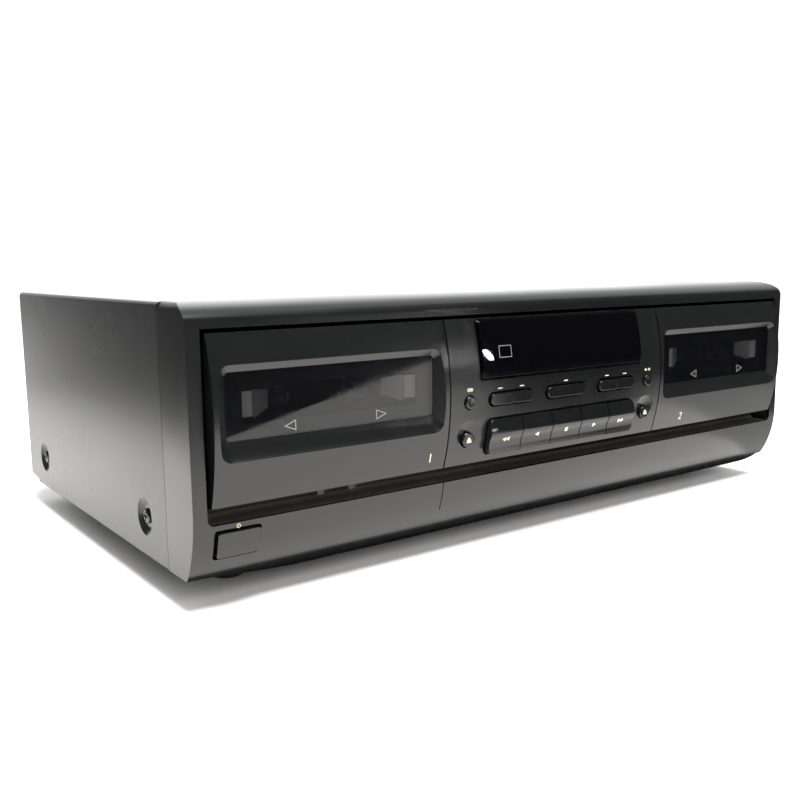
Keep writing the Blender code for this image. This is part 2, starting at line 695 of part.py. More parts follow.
def make_centre_panel():
    """The middle panel: a bulged shell, open behind, with the holes for the keys and the display."""
    half_w = CENTRE_W / 2
    back = FACE_Y + CENTRE_BACK
    outline = bulge_line(DOOR_Z, DOOR_TOP) + [(back, DOOR_TOP), (back, DOOR_Z)]
    panel = prism("centre_panel", outline, "X", -half_w, half_w)
    inner = bulge_line(DOOR_Z + PLASTIC, DOOR_TOP - PLASTIC, -PLASTIC)
    inner += [(back + OVERRUN, DOOR_TOP - PLASTIC), (back + OVERRUN, DOOR_Z + PLASTIC)]
    cut(panel, prism("centre_hollow", inner, "X", -half_w + PLASTIC, half_w - PLASTIC))

    front = FACE_Y - FRONTMOST - OVERRUN
    plug_x = DISPLAY_W / 2 - DISPLAY_PLUG_INSET + GAP
    cut(panel, block("display_hole",
                     (-plug_x, front, DISPLAY_TOP_Z - DISPLAY_H + DISPLAY_PLUG_INSET - GAP),
                     (plug_x, back, DISPLAY_TOP_Z - DISPLAY_PLUG_INSET + GAP)))
    for side in (-1, 0, 1):
        hole = key_outline(side * SMALL_KEY_SPACING, SMALL_KEY_W / 2, KEY_PLAY)
        cut(panel, prism("small_key_hole", hole, "Y", front, back))
    tape_x = TAPE_KEYS * TAPE_KEY_PITCH / 2 + KEY_PLAY / 2
    cut(panel, block("tape_key_hole", (-tape_x, front, TAPE_KEY_Z - KEY_PLAY),
                     (tape_x, back, TAPE_KEY_Z + TAPE_KEY_H + KEY_PLAY)))
    for side in (-1, 1):
        x = side * ROUND_KEY_X
        cut(panel, rod("round_key_hole", ROUND_KEY_R + KEY_PLAY, (x, front, ROUND_KEY_Z),
                       (x, back, ROUND_KEY_Z)))
        dish_y = bulge_y(OPEN_KEY_Z) + DISH_DEPTH
        cut(panel, funnel("open_key_dish", DISH_R + DISH_DEPTH * 2, DISH_R - DISH_DEPTH,
                          (x, dish_y - DISH_DEPTH * 2, OPEN_KEY_Z), (x, dish_y, OPEN_KEY_Z),
                          SMALL_STEPS))
        cut(panel, rod("open_key_hole", OPEN_KEY_R + KEY_PLAY, (x, front, OPEN_KEY_Z),
                       (x, back, OPEN_KEY_Z)))
    return finish(panel, CHARCOAL)


def make_display_window():
    """The display lens: a bulged bar with bevelled ends, and a plug that sits in the panel."""
    low, high = DISPLAY_TOP_Z - DISPLAY_H, DISPLAY_TOP_Z
    outline = bulge_line(low + DISPLAY_BEVEL_BOTTOM, high - DISPLAY_BEVEL_TOP, DISPLAY_PROUD)
    outline += reversed(bulge_line(low, high, GAP))
    half_w = DISPLAY_W / 2
    lens = prism("display_window", outline, "X", -half_w, half_w)
    for side in (-1, 1):
        edge = [(side * half_w, FACE_Y - BULGE - GAP), (side * (half_w + OVERRUN), FACE_Y - BULGE),
                (side * (half_w + OVERRUN), FACE_Y - FRONTMOST - OVERRUN),
                (side * (half_w - DISPLAY_BEVEL_TOP), FACE_Y - FRONTMOST - OVERRUN),
                (side * (half_w - DISPLAY_BEVEL_TOP), FACE_Y - BULGE - DISPLAY_PROUD)]
        cut(lens, prism("display_edge_cut", edge, "Z", low - OVERRUN, high + OVERRUN))
    plug_x = half_w - DISPLAY_PLUG_INSET
    add(lens, block("display_plug", (-plug_x, FACE_Y - BULGE / 2, low + DISPLAY_PLUG_INSET),
                    (plug_x, FACE_Y + DISPLAY_PLUG_BACK, high - DISPLAY_PLUG_INSET)))
    return finish(lens, GLOSS_BLACK)


def make_round_key(name, x, z, radius, face_y):
    """A round button with a stem that stops just short of its switch."""
    crown = radius / 6
    reach = KEY_END_Y - face_y
    stem = KEY_STEM / 2
    profile = [(0, 0), (radius - crown * 2, 0), (radius - crown / 2, -crown / 2), (radius, -crown * 2),
               (radius, -reach + KEY_BACK), (stem, -reach + KEY_BACK), (stem, -reach), (0, -reach)]
    return finish(turned(name, profile, (x, face_y, z), "front", SMALL_STEPS), CHARCOAL)


def make_small_key(name, middle, left, right):
    """A pill key, or half of one: the part between two planes, with its stem behind."""
    face_y = FACE_Y - BULGE - SMALL_KEY_PROUD
    body_back = FACE_Y + KEY_BACK
    pill = key_outline(middle, SMALL_KEY_W / 2)
    key = prism(name, pill, "Y", face_y, body_back)
    keep = block("small_key_share", (left, face_y - OVERRUN, SMALL_KEY_Z - SMALL_KEY_H),
                 (right, body_back + OVERRUN, SMALL_KEY_Z + SMALL_KEY_H))
    apply(key, "INTERSECT", [keep])
    x = (left + right) / 2
    stem = KEY_STEM / 2
    add(key, block("small_key_stem", (x - stem, body_back - GAP, SMALL_KEY_Z - stem),
                   (x + stem, KEY_END_Y, SMALL_KEY_Z + stem)))
    set_origin(key, (x, face_y, SMALL_KEY_Z))
    return finish(key, CHARCOAL)


def make_tape_key(name, number):
    """One of the five tape keys, with the wave across its face."""
    outs = (TAPE_KEY_TOP_OUT, (TAPE_KEY_TOP_OUT + TAPE_KEY_CREST_OUT) / 2, TAPE_KEY_CREST_OUT,
            (TAPE_KEY_CREST_OUT + TAPE_KEY_HOLLOW_OUT) / 2 + GAP, TAPE_KEY_HOLLOW_OUT + GAP,
            TAPE_KEY_HOLLOW_OUT, TAPE_KEY_FOOT_OUT)
    outline = [(FACE_Y - out, TAPE_KEY_Z + TAPE_KEY_H * share)
               for out, share in zip(outs, TAPE_KEY_HEIGHT_SHARES)]
    back = FACE_Y + TAPE_KEY_BACK
    outline += [(back, TAPE_KEY_Z), (back, TAPE_KEY_Z + TAPE_KEY_H)]
    x = (number - 2) * TAPE_KEY_PITCH
    half_w = (TAPE_KEY_PITCH - KEY_PLAY) / 2
    key = prism(name, outline, "X", x - half_w, x + half_w)
    z = TAPE_KEY_Z + TAPE_KEY_H / 2
    stem = KEY_STEM / 2
    add(key, block("tape_key_stem", (x - stem, back - GAP, z - stem), (x + stem, KEY_END_Y, z + stem)))
    set_origin(key, (x, FACE_Y, z))
    return finish(key, CHARCOAL)


def make_keys():
    """Every key on the centre panel, and the places of their stems."""
    round_face = FACE_Y - FRONTMOST
    open_face = bulge_y(OPEN_KEY_Z) - OPEN_KEY_PROUD
    make_round_key("counter_reset_button", -ROUND_KEY_X, ROUND_KEY_Z, ROUND_KEY_R, round_face)
    make_round_key("record_pause_button", ROUND_KEY_X, ROUND_KEY_Z, ROUND_KEY_R, round_face)
    make_round_key("open_button_1", -ROUND_KEY_X, OPEN_KEY_Z, OPEN_KEY_R, open_face)
    make_round_key("open_button_2", ROUND_KEY_X, OPEN_KEY_Z, OPEN_KEY_R, open_face)
    stems = [(side * ROUND_KEY_X, z) for side in (-1, 1) for z in (ROUND_KEY_Z, OPEN_KEY_Z)]
    half = SMALL_KEY_W / 2
    pairs = ((-SMALL_KEY_SPACING, "synchro_start_key", "tape_speed_key"),
             (SMALL_KEY_SPACING, "noise_reduction_key", "reverse_mode_key"))
    for middle, left_name, right_name in pairs:
        make_small_key(left_name, middle, middle - half, middle - KEY_PLAY / 2)
        make_small_key(right_name, middle, middle + KEY_PLAY / 2, middle + half)
        shift = (half + KEY_PLAY / 2) / 2
        stems += [(middle - shift, SMALL_KEY_Z), (middle + shift, SMALL_KEY_Z)]
    make_small_key("deck_select_key", 0, -half, half)
    stems.append((0, SMALL_KEY_Z))
    names = ("rewind_key", "reverse_play_key", "stop_key", "play_key", "fast_forward_key")
    for number, name in enumerate(names):
        make_tape_key(name, number)
        stems.append(((number - 2) * TAPE_KEY_PITCH, TAPE_KEY_Z + TAPE_KEY_H / 2))
    return stems


def make_key_board(stems):
    """The circuit board behind the centre panel, with a switch behind each key."""
    half_w = RIB_X - GAP
    board = block("key_board", (-half_w, KEY_BOARD_Y, DOOR_Z),
                  (half_w, KEY_BOARD_Y + BOARD_T, DOOR_TOP - KEY_BOARD_TOP_BELOW_DOOR))
    for x, z in stems:
        add(board, rod("switch", SWITCH_R, (x, SWITCH_Y, z), (x, KEY_BOARD_Y + BOARD_T / 2, z),
                       SMALL_STEPS // 2))
    finish(board, BOARD_GREEN)
    middle = DISPLAY_TOP_Z - DISPLAY_H / 2
    tube = block("display_tube", (-TUBE_W / 2, KEY_BOARD_Y - GAP - TUBE_T, middle - TUBE_H / 2),
                 (TUBE_W / 2, KEY_BOARD_Y - GAP, middle + TUBE_H / 2))
    return finish(tube, GLOSS_BLACK)


def window_cutter(name, x):
    """The sloped recess from the door's rim in to the glass and on to its rebate."""
    front_y = FACE_Y - FRONTMOST
    rear_y = GLASS_Y + GAP
    rim_low, rim_high = DOOR_Z + RIM_BOTTOM, DOOR_TOP - RIM_TOP
    glass_low, glass_high = rim_low + GLASS_BOTTOM, rim_high - GLASS_TOP
    rim_x = DOOR_W / 2 - RIM_SIDE
    glass_x = rim_x - GLASS_SIDE

    def reach(glass, rim, rim_y, at_y):
        """Carry the slope that joins the glass and the rim on to another depth."""
        return glass + (rim - glass) * (GLASS_Y - at_y) / (GLASS_Y - rim_y)

    shape = bmesh.new()
    bmesh.ops.create_cube(shape, size=1)
    for corner in shape.verts:
        at_y = front_y if corner.co.y < 0 else rear_y
        half = reach(glass_x, rim_x, FACE_Y - BULGE, at_y)
        if corner.co.z < 0:
            height = reach(glass_low, rim_low, bulge_y(rim_low), at_y)
        else:
            height = reach(glass_high, rim_high, bulge_y(rim_high), at_y)
        corner.co = (x + math.copysign(half, corner.co.x), at_y, height)
    slanted = [edge for edge in shape.edges
               if abs(edge.verts[0].co.y - edge.verts[1].co.y) > GLASS_SINK / 2]
    bmesh.ops.bevel(shape, geom=slanted, offset=RIM_CORNER_R, offset_type="OFFSET", segments=RIM_STEPS,
                    profile=0.5, affect="EDGES", material=-1)
    return mesh_object(name, shape), glass_x, glass_low, glass_high


def make_door(number, x):
    """A tape door's bulged front with its sunk window."""
    left, right = x - DOOR_W / 2, x + DOOR_W / 2
    back = FACE_Y + DOOR_BACK
    outline = bulge_line(DOOR_Z, DOOR_TOP) + [(back, DOOR_TOP), (back, DOOR_Z)]
    door = prism(f"door_{number}_panel", outline, "X", left, right)
    recess, glass_x, glass_low, glass_high = window_cutter(f"door_{number}_recess", x)
    cut(door, recess)
    lens_x = glass_x + GLASS_LEDGE
    lens_low, lens_high = glass_low - GLASS_LEDGE, glass_high + GLASS_LEDGE
    cut(door, block(f"door_{number}_rebate", (x - lens_x - GAP, GLASS_Y, lens_low - GAP),
                    (x + lens_x + GAP, back + OVERRUN, lens_high + GAP)))
    lens = block(f"door_{number}_window", (x - lens_x, GLASS_Y + GAP, lens_low),
                 (x + lens_x, GLASS_Y + GAP + GLASS_T, lens_high))
    for piece, look in ((door, CHARCOAL), (lens, GLOSS_BLACK)):
        set_origin(piece, (x, HINGE_Y, HINGE_Z))
        finish(piece, look)


def make_holder(number, x):
    """The cassette holder behind a door: two channels, two bars, corner shelves and hinge pins."""
    lip_x = HOLDER_INNER_X - HOLDER_LIP_W
    shelf_x = HOLDER_INNER_X - SHELF_W
    shelf_top = SHELF_Z + SHELF_T
    skin = HOLDER_SKIN / 2
    holder = block(f"door_{number}_cassette_holder", (x - HOLDER_OUTER_X, HOLDER_Y, SHELF_Z),
                   (x + HOLDER_OUTER_X, HOLDER_BACK_Y, HOLDER_TOP))
    cut(holder, block("holder_slot", (x - HOLDER_INNER_X, SLOT_Y, shelf_top),
                      (x + HOLDER_INNER_X, SLOT_BACK_Y, HOLDER_TOP + OVERRUN)))
    cut(holder, block("holder_front", (x - lip_x, HOLDER_Y - OVERRUN, SHELF_Z + HOLDER_BAR_H),
                      (x + lip_x, SLOT_Y + skin, HOLDER_TOP - HOLDER_BAR_H)))
    cut(holder, block("holder_back", (x - lip_x, SLOT_BACK_Y - skin, shelf_top + GAP),
                      (x + lip_x, HOLDER_BACK_Y + OVERRUN, HOLDER_TOP + OVERRUN)))
    cut(holder, block("holder_floor", (x - shelf_x, SLOT_Y + GAP / 2, SHELF_Z - OVERRUN),
                      (x + shelf_x, HOLDER_BACK_Y + OVERRUN, shelf_top + OVERRUN)))
    neck = HINGE_BOSS_R * HINGE_NECK_SHARE
    for side in (-1, 1):
        near, far = sorted((x + side * (HOLDER_INNER_X + GAP), x + side * (HOLDER_OUTER_X - GAP)))
        wall_x = x + side * (HOLDER_OUTER_X - HOLDER_WALL / 2)
        pin_x = x + side * (HOLDER_OUTER_X + HINGE_PIN_REACH)
        add(holder, block("holder_neck", (near, HINGE_Y - neck, HINGE_Z),
                          (far, HINGE_Y + neck, SHELF_Z + SHELF_T / 2)))
        near, far = sorted((x + side * (HOLDER_INNER_X + GAP / 2), x + side * (HOLDER_OUTER_X - GAP / 2)))
        add(holder, rod("holder_boss", HINGE_BOSS_R, (near, HINGE_Y, HINGE_Z), (far, HINGE_Y, HINGE_Z)))
        add(holder, rod("holder_pin", HINGE_PIN_R, (wall_x, HINGE_Y, HINGE_Z), (pin_x, HINGE_Y, HINGE_Z)))
    set_origin(holder, (x, HINGE_Y, HINGE_Z))
    return finish(holder, DARK_PLASTIC)


def make_mechanism_plate(number, x):
    """The steel plate behind a door: hinge ears in front, capstan bearings behind."""
    low = DOOR_Z - PLATE_BOTTOM_BELOW_DOOR
    high = DOOR_TOP - PLATE_TOP_BELOW_DOOR
    plate = block(f"mechanism_plate_{number}", (x - PLATE_HALF_W, PLATE_Y, low),
                  (x + PLATE_HALF_W, PLATE_BACK_Y, high))
    ear_x = HOLDER_OUTER_X + EAR_PLAY
    for side in (-1, 1):
        near, far = sorted((x + side * ear_x, x + side * (ear_x + EAR_T)))
        add(plate, block("ear", (near, HINGE_Y, HINGE_Z - EAR_R),
                         (far, PLATE_Y + PLATE_T / 2, HINGE_Z + EAR_R)))
        add(plate, rod("ear_end", EAR_R * EAR_END_SHARE, (near, HINGE_Y, HINGE_Z),
                       (far, HINGE_Y, HINGE_Z)))
        capstan_x = x + side * CAPSTAN_SPACING / 2
        add(plate, rod("bearing", BEARING_R, (capstan_x, PLATE_Y + PLATE_T / 2, CAPSTAN_Z),
                       (capstan_x, PLATE_BACK_Y + BEARING_REACH, CAPSTAN_Z)))
    for side in (-1, 1):
        capstan_x = x + side * CAPSTAN_SPACING / 2
        cut(plate, rod("bearing_bore", CAPSTAN_R + SHAFT_PLAY, (capstan_x, PLATE_Y - OVERRUN, CAPSTAN_Z),
                       (capstan_x, PLATE_BACK_Y + BEARING_REACH + OVERRUN, CAPSTAN_Z)))
        hub_x = x + side * HUB_SPACING / 2
        cut(plate, rod("spindle_hole", SPINDLE_NECK_R + SHAFT_PLAY, (hub_x, PLATE_Y - OVERRUN, HUB_Z),
                       (hub_x, PLATE_BACK_Y + OVERRUN, HUB_Z)))
        pin_x = x + side * HOLDER_OUTER_X
        far_x = x + side * (ear_x + EAR_T + OVERRUN)
        cut(plate, rod("pin_hole", HINGE_PIN_R + SHAFT_PLAY, (pin_x, HINGE_Y, HINGE_Z),
                       (far_x, HINGE_Y, HINGE_Z)))
    return finish(plate, ZINC)


def make_reel_spindle(name, x):
    """A reel spindle: a finned hub in front of the plate, and its gear behind."""
    tip_y = FACE_Y + SPINDLE_TIP_BACK
    plate_front = PLATE_Y - GAP - tip_y
    plate_back = PLATE_BACK_Y + GAP - tip_y
    collar = plate_front - SPINDLE_COLLAR_T
    profile = [(0, 0), (SPINDLE_TIP_R, 0), (SPINDLE_R, -SPINDLE_TAPER), (SPINDLE_R, -collar),
               (SPINDLE_COLLAR_R, -collar), (SPINDLE_COLLAR_R, -plate_front), (SPINDLE_NECK_R, -plate_front),
               (SPINDLE_NECK_R, -plate_back), (SPINDLE_GEAR_R, -plate_back),
               (SPINDLE_GEAR_R, -plate_back - SPINDLE_GEAR_T), (0, -plate_back - SPINDLE_GEAR_T)]
    spindle = turned(name, profile, (x, tip_y, HUB_Z), "front", SMALL_STEPS + CORNER_STEPS)
    for number in range(FINS):
        angle = math.radians(90 + 360 / FINS * number)
        fin = block(f"{name}_fin", (0, SPINDLE_TAPER, -SPINDLE_FIN_T / 2),
                    (SPINDLE_R + SPINDLE_FIN, collar + GAP, SPINDLE_FIN_T / 2))
        fin.data.transform(Matrix.Rotation(angle, 4, "Y"))
        fin.data.transform(Matrix.Translation((x, tip_y, HUB_Z)))
        add(spindle, fin)
    return finish(spindle, WHITE_PLASTIC)


def make_flywheel(name, x):
    """A capstan and its flywheel, turned as one piece and dished on the rear side."""
    tip_y = FACE_Y + CAPSTAN_TIP_BACK
    front = FLYWHEEL_Y - tip_y
    rear = front + FLYWHEEL_T
    dish = rear - FLYWHEEL_DISH
    profile = [(0, 0), (CAPSTAN_R, 0), (CAPSTAN_R, -front), (FLYWHEEL_R, -front), (FLYWHEEL_R, -rear),
               (FLYWHEEL_R - FLYWHEEL_RIM_W, -rear), (FLYWHEEL_R - FLYWHEEL_RIM_W, -dish),
               (FLYWHEEL_HUB_R, -dish), (FLYWHEEL_HUB_R, -rear), (0, -rear)]
    return finish(turned(name, profile, (x, tip_y, CAPSTAN_Z), "front"), BRIGHT_STEEL)


def make_motor(number, x):
    """The drive motor: a can on the back of the plate, bored for the pulley's shaft."""
    front_y = PLATE_BACK_Y + GAP
    length = MOTOR_REAR_Y - front_y
    bore_r = PULLEY_SHAFT_R + SHAFT_PLAY
    bore = length + MOTOR_BOSS_T - PULLEY_SHAFT_IN - SHAFT_PLAY
    total = length + MOTOR_BOSS_T
    profile = [(0, 0), (MOTOR_R, 0), (MOTOR_R, -length), (MOTOR_BOSS_R, -length), (MOTOR_BOSS_R, -total),
               (bore_r, -total), (bore_r, -bore), (0, -bore)]
    motor = turned(f"motor_{number}", profile, (x - MOTOR_OUT, front_y, MOTOR_Z), "front")
    finish(motor, ZINC)
    shaft_y = MOTOR_REAR_Y + MOTOR_BOSS_T - PULLEY_SHAFT_IN
    face = FLYWHEEL_Y + GAP - shaft_y
    rear = FLYWHEEL_Y + FLYWHEEL_T - shaft_y
    wide = PULLEY_R + PULLEY_FLANGE
    profile = [(0, 0), (PULLEY_SHAFT_R, 0), (PULLEY_SHAFT_R, -face), (wide, -face),
               (wide, -face - PULLEY_FLANGE_T), (PULLEY_R, -face - PULLEY_FLANGE_T),
               (PULLEY_R, -rear + PULLEY_FLANGE_T), (wide, -rear + PULLEY_FLANGE_T),
               (wide, -rear), (0, -rear)]
    centre = (x - MOTOR_OUT, shaft_y, MOTOR_Z)
    pulley = turned(f"motor_pulley_{number}", profile, centre, "front", SMALL_STEPS)
    return finish(pulley, BRIGHT_STEEL)


def belt_path(wheels):
    """Points round a loop of wheels (x, z, radius, side): side 1 is inside the loop, -1 outside it."""
    joins = []
    for at, (x1, z1, r1, side1) in enumerate(wheels):
        x2, z2, r2, side2 = wheels[(at + 1) % len(wheels)]
        heading = math.atan2(z2 - z1, x2 - x1)
        lean = math.asin((side2 * r2 - side1 * r1) / math.hypot(x2 - x1, z2 - z1))
        joins.append(heading - math.pi / 2 - lean)
    points = []
    for at, (x, z, radius, side) in enumerate(wheels):
        start, end = joins[at - 1], joins[at]
        sweep = (end - start) % (2 * math.pi)
        if side < 0:
            sweep -= 2 * math.pi
        for step in range(BELT_ARC_POINTS + 1):
            angle = start + sweep * step / BELT_ARC_POINTS
            points.append((x + side * radius * math.cos(angle), z + side * radius * math.sin(angle)))
    return points


def make_belt(number, x):
    """The drive belt: over the left flywheel with its back, round the right one and the pulley."""
    lift = GAP + BELT_T / 2
    wheels = ((x - MOTOR_OUT, MOTOR_Z, PULLEY_R + lift, 1),
              (x - CAPSTAN_SPACING / 2, CAPSTAN_Z, FLYWHEEL_R + lift, -1),
              (x + CAPSTAN_SPACING / 2, CAPSTAN_Z, FLYWHEEL_R + lift, 1))
    shape = bmesh.new()
    loop = [shape.verts.new((px, BELT_Y - BELT_W / 2, pz)) for px, pz in belt_path(wheels)]
    edges = [shape.edges.new((loop[at - 1], loop[at])) for at in range(len(loop))]
    grown = bmesh.ops.extrude_edge_only(shape, edges=edges)["geom"]
    moved = [item for item in grown if isinstance(item, bmesh.types.BMVert)]
    bmesh.ops.translate(shape, vec=(0, BELT_W, 0), verts=moved)
    belt = mesh_object(f"drive_belt_{number}", shape)
    wall = belt.modifiers.new("thickness", "SOLIDIFY")
    wall.thickness = BELT_T
    wall.offset = 0
    return finish(belt, RUBBER)


def make_head_bridge(number, x):
    """The sliding bridge below a cassette, with the tape head and the two pinch rollers."""
    bridge_y = PLATE_Y - GAP - BRIDGE_T
    bridge = block(f"head_bridge_{number}", (x - BRIDGE_HALF_W, bridge_y, BRIDGE_TOP - BRIDGE_H),
                   (x + BRIDGE_HALF_W, PLATE_Y - GAP, BRIDGE_TOP))
    add(bridge, block("head", (x - HEAD_W / 2, FACE_Y + HEAD_FRONT, BRIDGE_TOP - HEAD_H),
                      (x + HEAD_W / 2, bridge_y + BRIDGE_T / 2, BRIDGE_TOP - GAP)))
    for side in (-1, 1):
        roller_x = x + side * CAPSTAN_SPACING / 2
        front = FACE_Y + ROLLER_FRONT
        add(bridge, rod("roller", ROLLER_R, (roller_x, front, ROLLER_Z),
                        (roller_x, front + ROLLER_L, ROLLER_Z)))
        add(bridge, rod("roller_axle", ROLLER_AXLE_R, (roller_x, front + ROLLER_L / 2, ROLLER_Z),
                        (roller_x, bridge_y + BRIDGE_T / 2, ROLLER_Z)))
    set_origin(bridge, (x, bridge_y, BRIDGE_TOP))
    return finish(bridge, ZINC)


def make_deck(number, x):
    """Everything that belongs to one of the two tape decks."""
    make_door(number, x)
    make_holder(number, x)
    make_mechanism_plate(number, x)
    make_head_bridge(number, x)
    for side, place in ((-1, "left"), (1, "right")):
        make_reel_spindle(f"reel_spindle_{number}_{place}", x + side * HUB_SPACING / 2)
        make_flywheel(f"capstan_flywheel_{number}_{place}", x + side * CAPSTAN_SPACING / 2)
    make_motor(number, x)
    make_belt(number, x)


def screw_places():
    """The four case screws: side, and place along the case."""
    rear = CASE_REAR_Y - SCREW_FROM_REAR
    return [(side, y, place) for side, hand in ((-1, "left"), (1, "right"))
            for y, place in ((FACE_Y + SCREW_FRONT, f"front_{hand}"), (rear, f"rear_{hand}"))]


def make_top_cover():
    """The folded steel cover: a top and two sides, with a lip over the rear panel."""
    outer = rounded(-CASE_X, CASE_X, CASE_Z, COVER_TOP, (0, 0, COVER_BEND_R, COVER_BEND_R))
    cover = prism("top_cover", outer, "Y", CASE_FRONT_Y, CASE_REAR_Y)
    inner_r = COVER_BEND_R - SHEET
    inner = rounded(-CASE_X + SHEET, CASE_X - SHEET, CASE_Z - OVERRUN, COVER_TOP - SHEET,
                    (0, 0, inner_r, inner_r))
    cut(cover, prism("cover_hollow", inner, "Y", CASE_FRONT_Y - OVERRUN, CASE_REAR_Y - SHEET))
    lip_z = COVER_TOP - SHEET - COVER_LIP_H
    inside_x = CASE_X - SHEET
    cut(cover, block("cover_rear_cut", (-inside_x, CASE_REAR_Y - SHEET - OVERRUN, CASE_Z - OVERRUN),
                     (inside_x, CASE_REAR_Y + OVERRUN, lip_z)))
    corner = [(CASE_REAR_Y - COVER_CORNER_L, CASE_Z - OVERRUN), (CASE_REAR_Y + OVERRUN, CASE_Z - OVERRUN),
              (CASE_REAR_Y + OVERRUN, CASE_Z + COVER_CORNER_H), (CASE_REAR_Y, CASE_Z + COVER_CORNER_H),
              (CASE_REAR_Y - COVER_CORNER_L, CASE_Z)]
    cut(cover, prism("cover_corner_cut", corner, "X", -CASE_X - OVERRUN, CASE_X + OVERRUN))
    z = CASE_Z + SCREW_RISE
    for side, y, _ in screw_places():
        skin = side * (CASE_X - SHEET / 2)
        floor = side * (CASE_X - DIMPLE_DEPTH)
        inner_floor = side * (CASE_X - DIMPLE_DEPTH - SHEET)
        add(cover, funnel("dimple_back", DIMPLE_R + DIMPLE_SKIRT, DIMPLE_FLOOR_R + DIMPLE_SKIRT,
                          (skin, y, z), (inner_floor, y, z), SMALL_STEPS))
        cut(cover, funnel("dimple", DIMPLE_R + (DIMPLE_R - DIMPLE_FLOOR_R) * OVERRUN / DIMPLE_DEPTH,
                          DIMPLE_FLOOR_R, (side * (CASE_X + OVERRUN), y, z), (floor, y, z), SMALL_STEPS))
        cut(cover, rod("screw_hole", SCREW_R + SHAFT_PLAY, (side * (CASE_X + OVERRUN), y, z),
                       (side * (CASE_X - DIMPLE_DEPTH - SHEET - OVERRUN / 2), y, z)))
    return finish(cover, CASE_PAINT)


def make_cover_screws():
    """The four case screws in their dimples."""
    z = CASE_Z + SCREW_RISE
    for side, y, place in screw_places():
        facing = "left" if side < 0 else "right"
        seat = CASE_X - DIMPLE_DEPTH + GAP
        profile = [(0, SCREW_HEAD_T), (SCREW_HEAD_R * SCREW_CROWN_SHARE, SCREW_HEAD_T),
                   (SCREW_HEAD_R, SCREW_HEAD_T / 2), (SCREW_HEAD_R, 0), (SCREW_R, 0),
                   (SCREW_R, -SCREW_L), (0, -SCREW_L)]
        screw = turned(f"cover_screw_{place}", profile, (side * seat, y, z), facing, SMALL_STEPS)
        outside = side * (seat + SCREW_HEAD_T + OVERRUN)
        slot_floor = side * (seat + SCREW_HEAD_T / 2)
        near, far = sorted((slot_floor, outside))
        slot_long = SCREW_HEAD_R * SCREW_SLOT_SHARE
        for wide, tall in ((slot_long, SCREW_SLOT_W / 2), (SCREW_SLOT_W / 2, slot_long)):
            cut(screw, block("screw_slot", (near, y - wide, z - tall), (far, y + wide, z + tall)))
        finish(screw, CASE_PAINT)


def make_chassis():
    """The chassis: a folded steel tray that carries everything."""
    wall_x = CASE_X - CHASSIS_INSET
    tray = block("chassis_pan", (-wall_x, CASE_FRONT_Y, CHASSIS_Z),
                 (wall_x, CHASSIS_REAR_Y, CHASSIS_Z + CHASSIS_WALL_H))
    cut(tray, block("chassis_hollow", (-wall_x + SHEET, CASE_FRONT_Y + SHEET, CHASSIS_Z + SHEET),
                    (wall_x - SHEET, CHASSIS_REAR_Y - SHEET, CHASSIS_Z + CHASSIS_WALL_H + OVERRUN)))
    z = CASE_Z + SCREW_RISE
    for side, y, _ in screw_places():
        cut(tray, rod("chassis_screw_hole", SCREW_R + SHAFT_PLAY, (side * (wall_x + OVERRUN), y, z),
                      (side * (wall_x - SHEET - OVERRUN), y, z)))
    return finish(tray, ZINC)


def make_feet():
    """Four round feet under the chassis."""
    profile = [(0, FOOT_H), (FOOT_TOP_R, FOOT_H), (FOOT_R, FOOT_EDGE * 2), (FOOT_R, FOOT_EDGE),
               (FOOT_R - FOOT_EDGE, 0), (0, 0)]
    for x, hand in ((-CASE_X + FOOT_IN, "left"), (CASE_X - FOOT_IN, "right")):
        for y, place in ((FACE_Y + FOOT_FRONT, "front"), (CASE_REAR_Y - FOOT_REAR, "rear")):
            finish(turned(f"foot_{place}_{hand}", profile, (x, y, 0), "up", ROUND_STEPS), RUBBER)


def jack_places():
    """The four line sockets, two across and two up."""
    middle = CASE_Z + JACK_RISE
    return [(JACK_X + side * JACK_PITCH / 2, middle + up * JACK_PITCH / 2)
            for side in (-1, 1) for up in (-1, 1)]


def make_rear_panel():
    """The rear panel, cut for the line sockets and the mains inlet."""
    side_x = CASE_X - SHEET - GAP
    low = CASE_Z + COVER_CORNER_H / 2
    corner_r = COVER_BEND_R - SHEET
    outline = rounded(-side_x, side_x, low, COVER_TOP - SHEET - GAP, (0, 0, corner_r, corner_r))
    panel = prism("rear_panel", outline, "Y", REAR_PANEL_Y - SHEET, REAR_PANEL_Y)
    for x, z in jack_places():
        cut(panel, rod("jack_hole", JACK_R + KEY_PLAY, (x, REAR_PANEL_Y - SHEET - OVERRUN, z),
                       (x, REAR_PANEL_Y + OVERRUN, z)))
    half_w, half_h = INLET_W / 2 + GAP, INLET_H / 2 + GAP
    z = CASE_Z + INLET_RISE
    cut(panel, block("inlet_hole", (-INLET_X - half_w, REAR_PANEL_Y - SHEET - OVERRUN, z - half_h),
                     (-INLET_X + half_w, REAR_PANEL_Y + OVERRUN, z + half_h)))
    return finish(panel, CASE_PAINT)


def make_line_jacks():
    """The line sockets: four barrels on one moulded block."""
    middle = CASE_Z + JACK_RISE
    half = JACK_PITCH / 2 + JACK_BLOCK_BORDER
    block_back = REAR_PANEL_Y - SHEET - GAP
    jacks = block("line_jacks", (JACK_X - half, block_back - JACK_BLOCK_D, middle - half),
                  (JACK_X + half, block_back, middle + half))
    end = CASE_REAR_Y + JACK_REACH
    for x, z in jack_places():
        add(jacks, rod("jack_barrel", JACK_R, (x, block_back - JACK_BLOCK_D / 2, z), (x, end, z)))
        add(jacks, rod("jack_collar", JACK_NUT_R, (x, REAR_PANEL_Y + GAP, z),
                       (x, REAR_PANEL_Y + GAP + JACK_NUT_T, z)))
        cut(jacks, rod("jack_bore", JACK_BORE_R, (x, end - JACK_BORE_DEPTH, z), (x, end + OVERRUN, z)))
    return finish(jacks, DARK_PLASTIC)


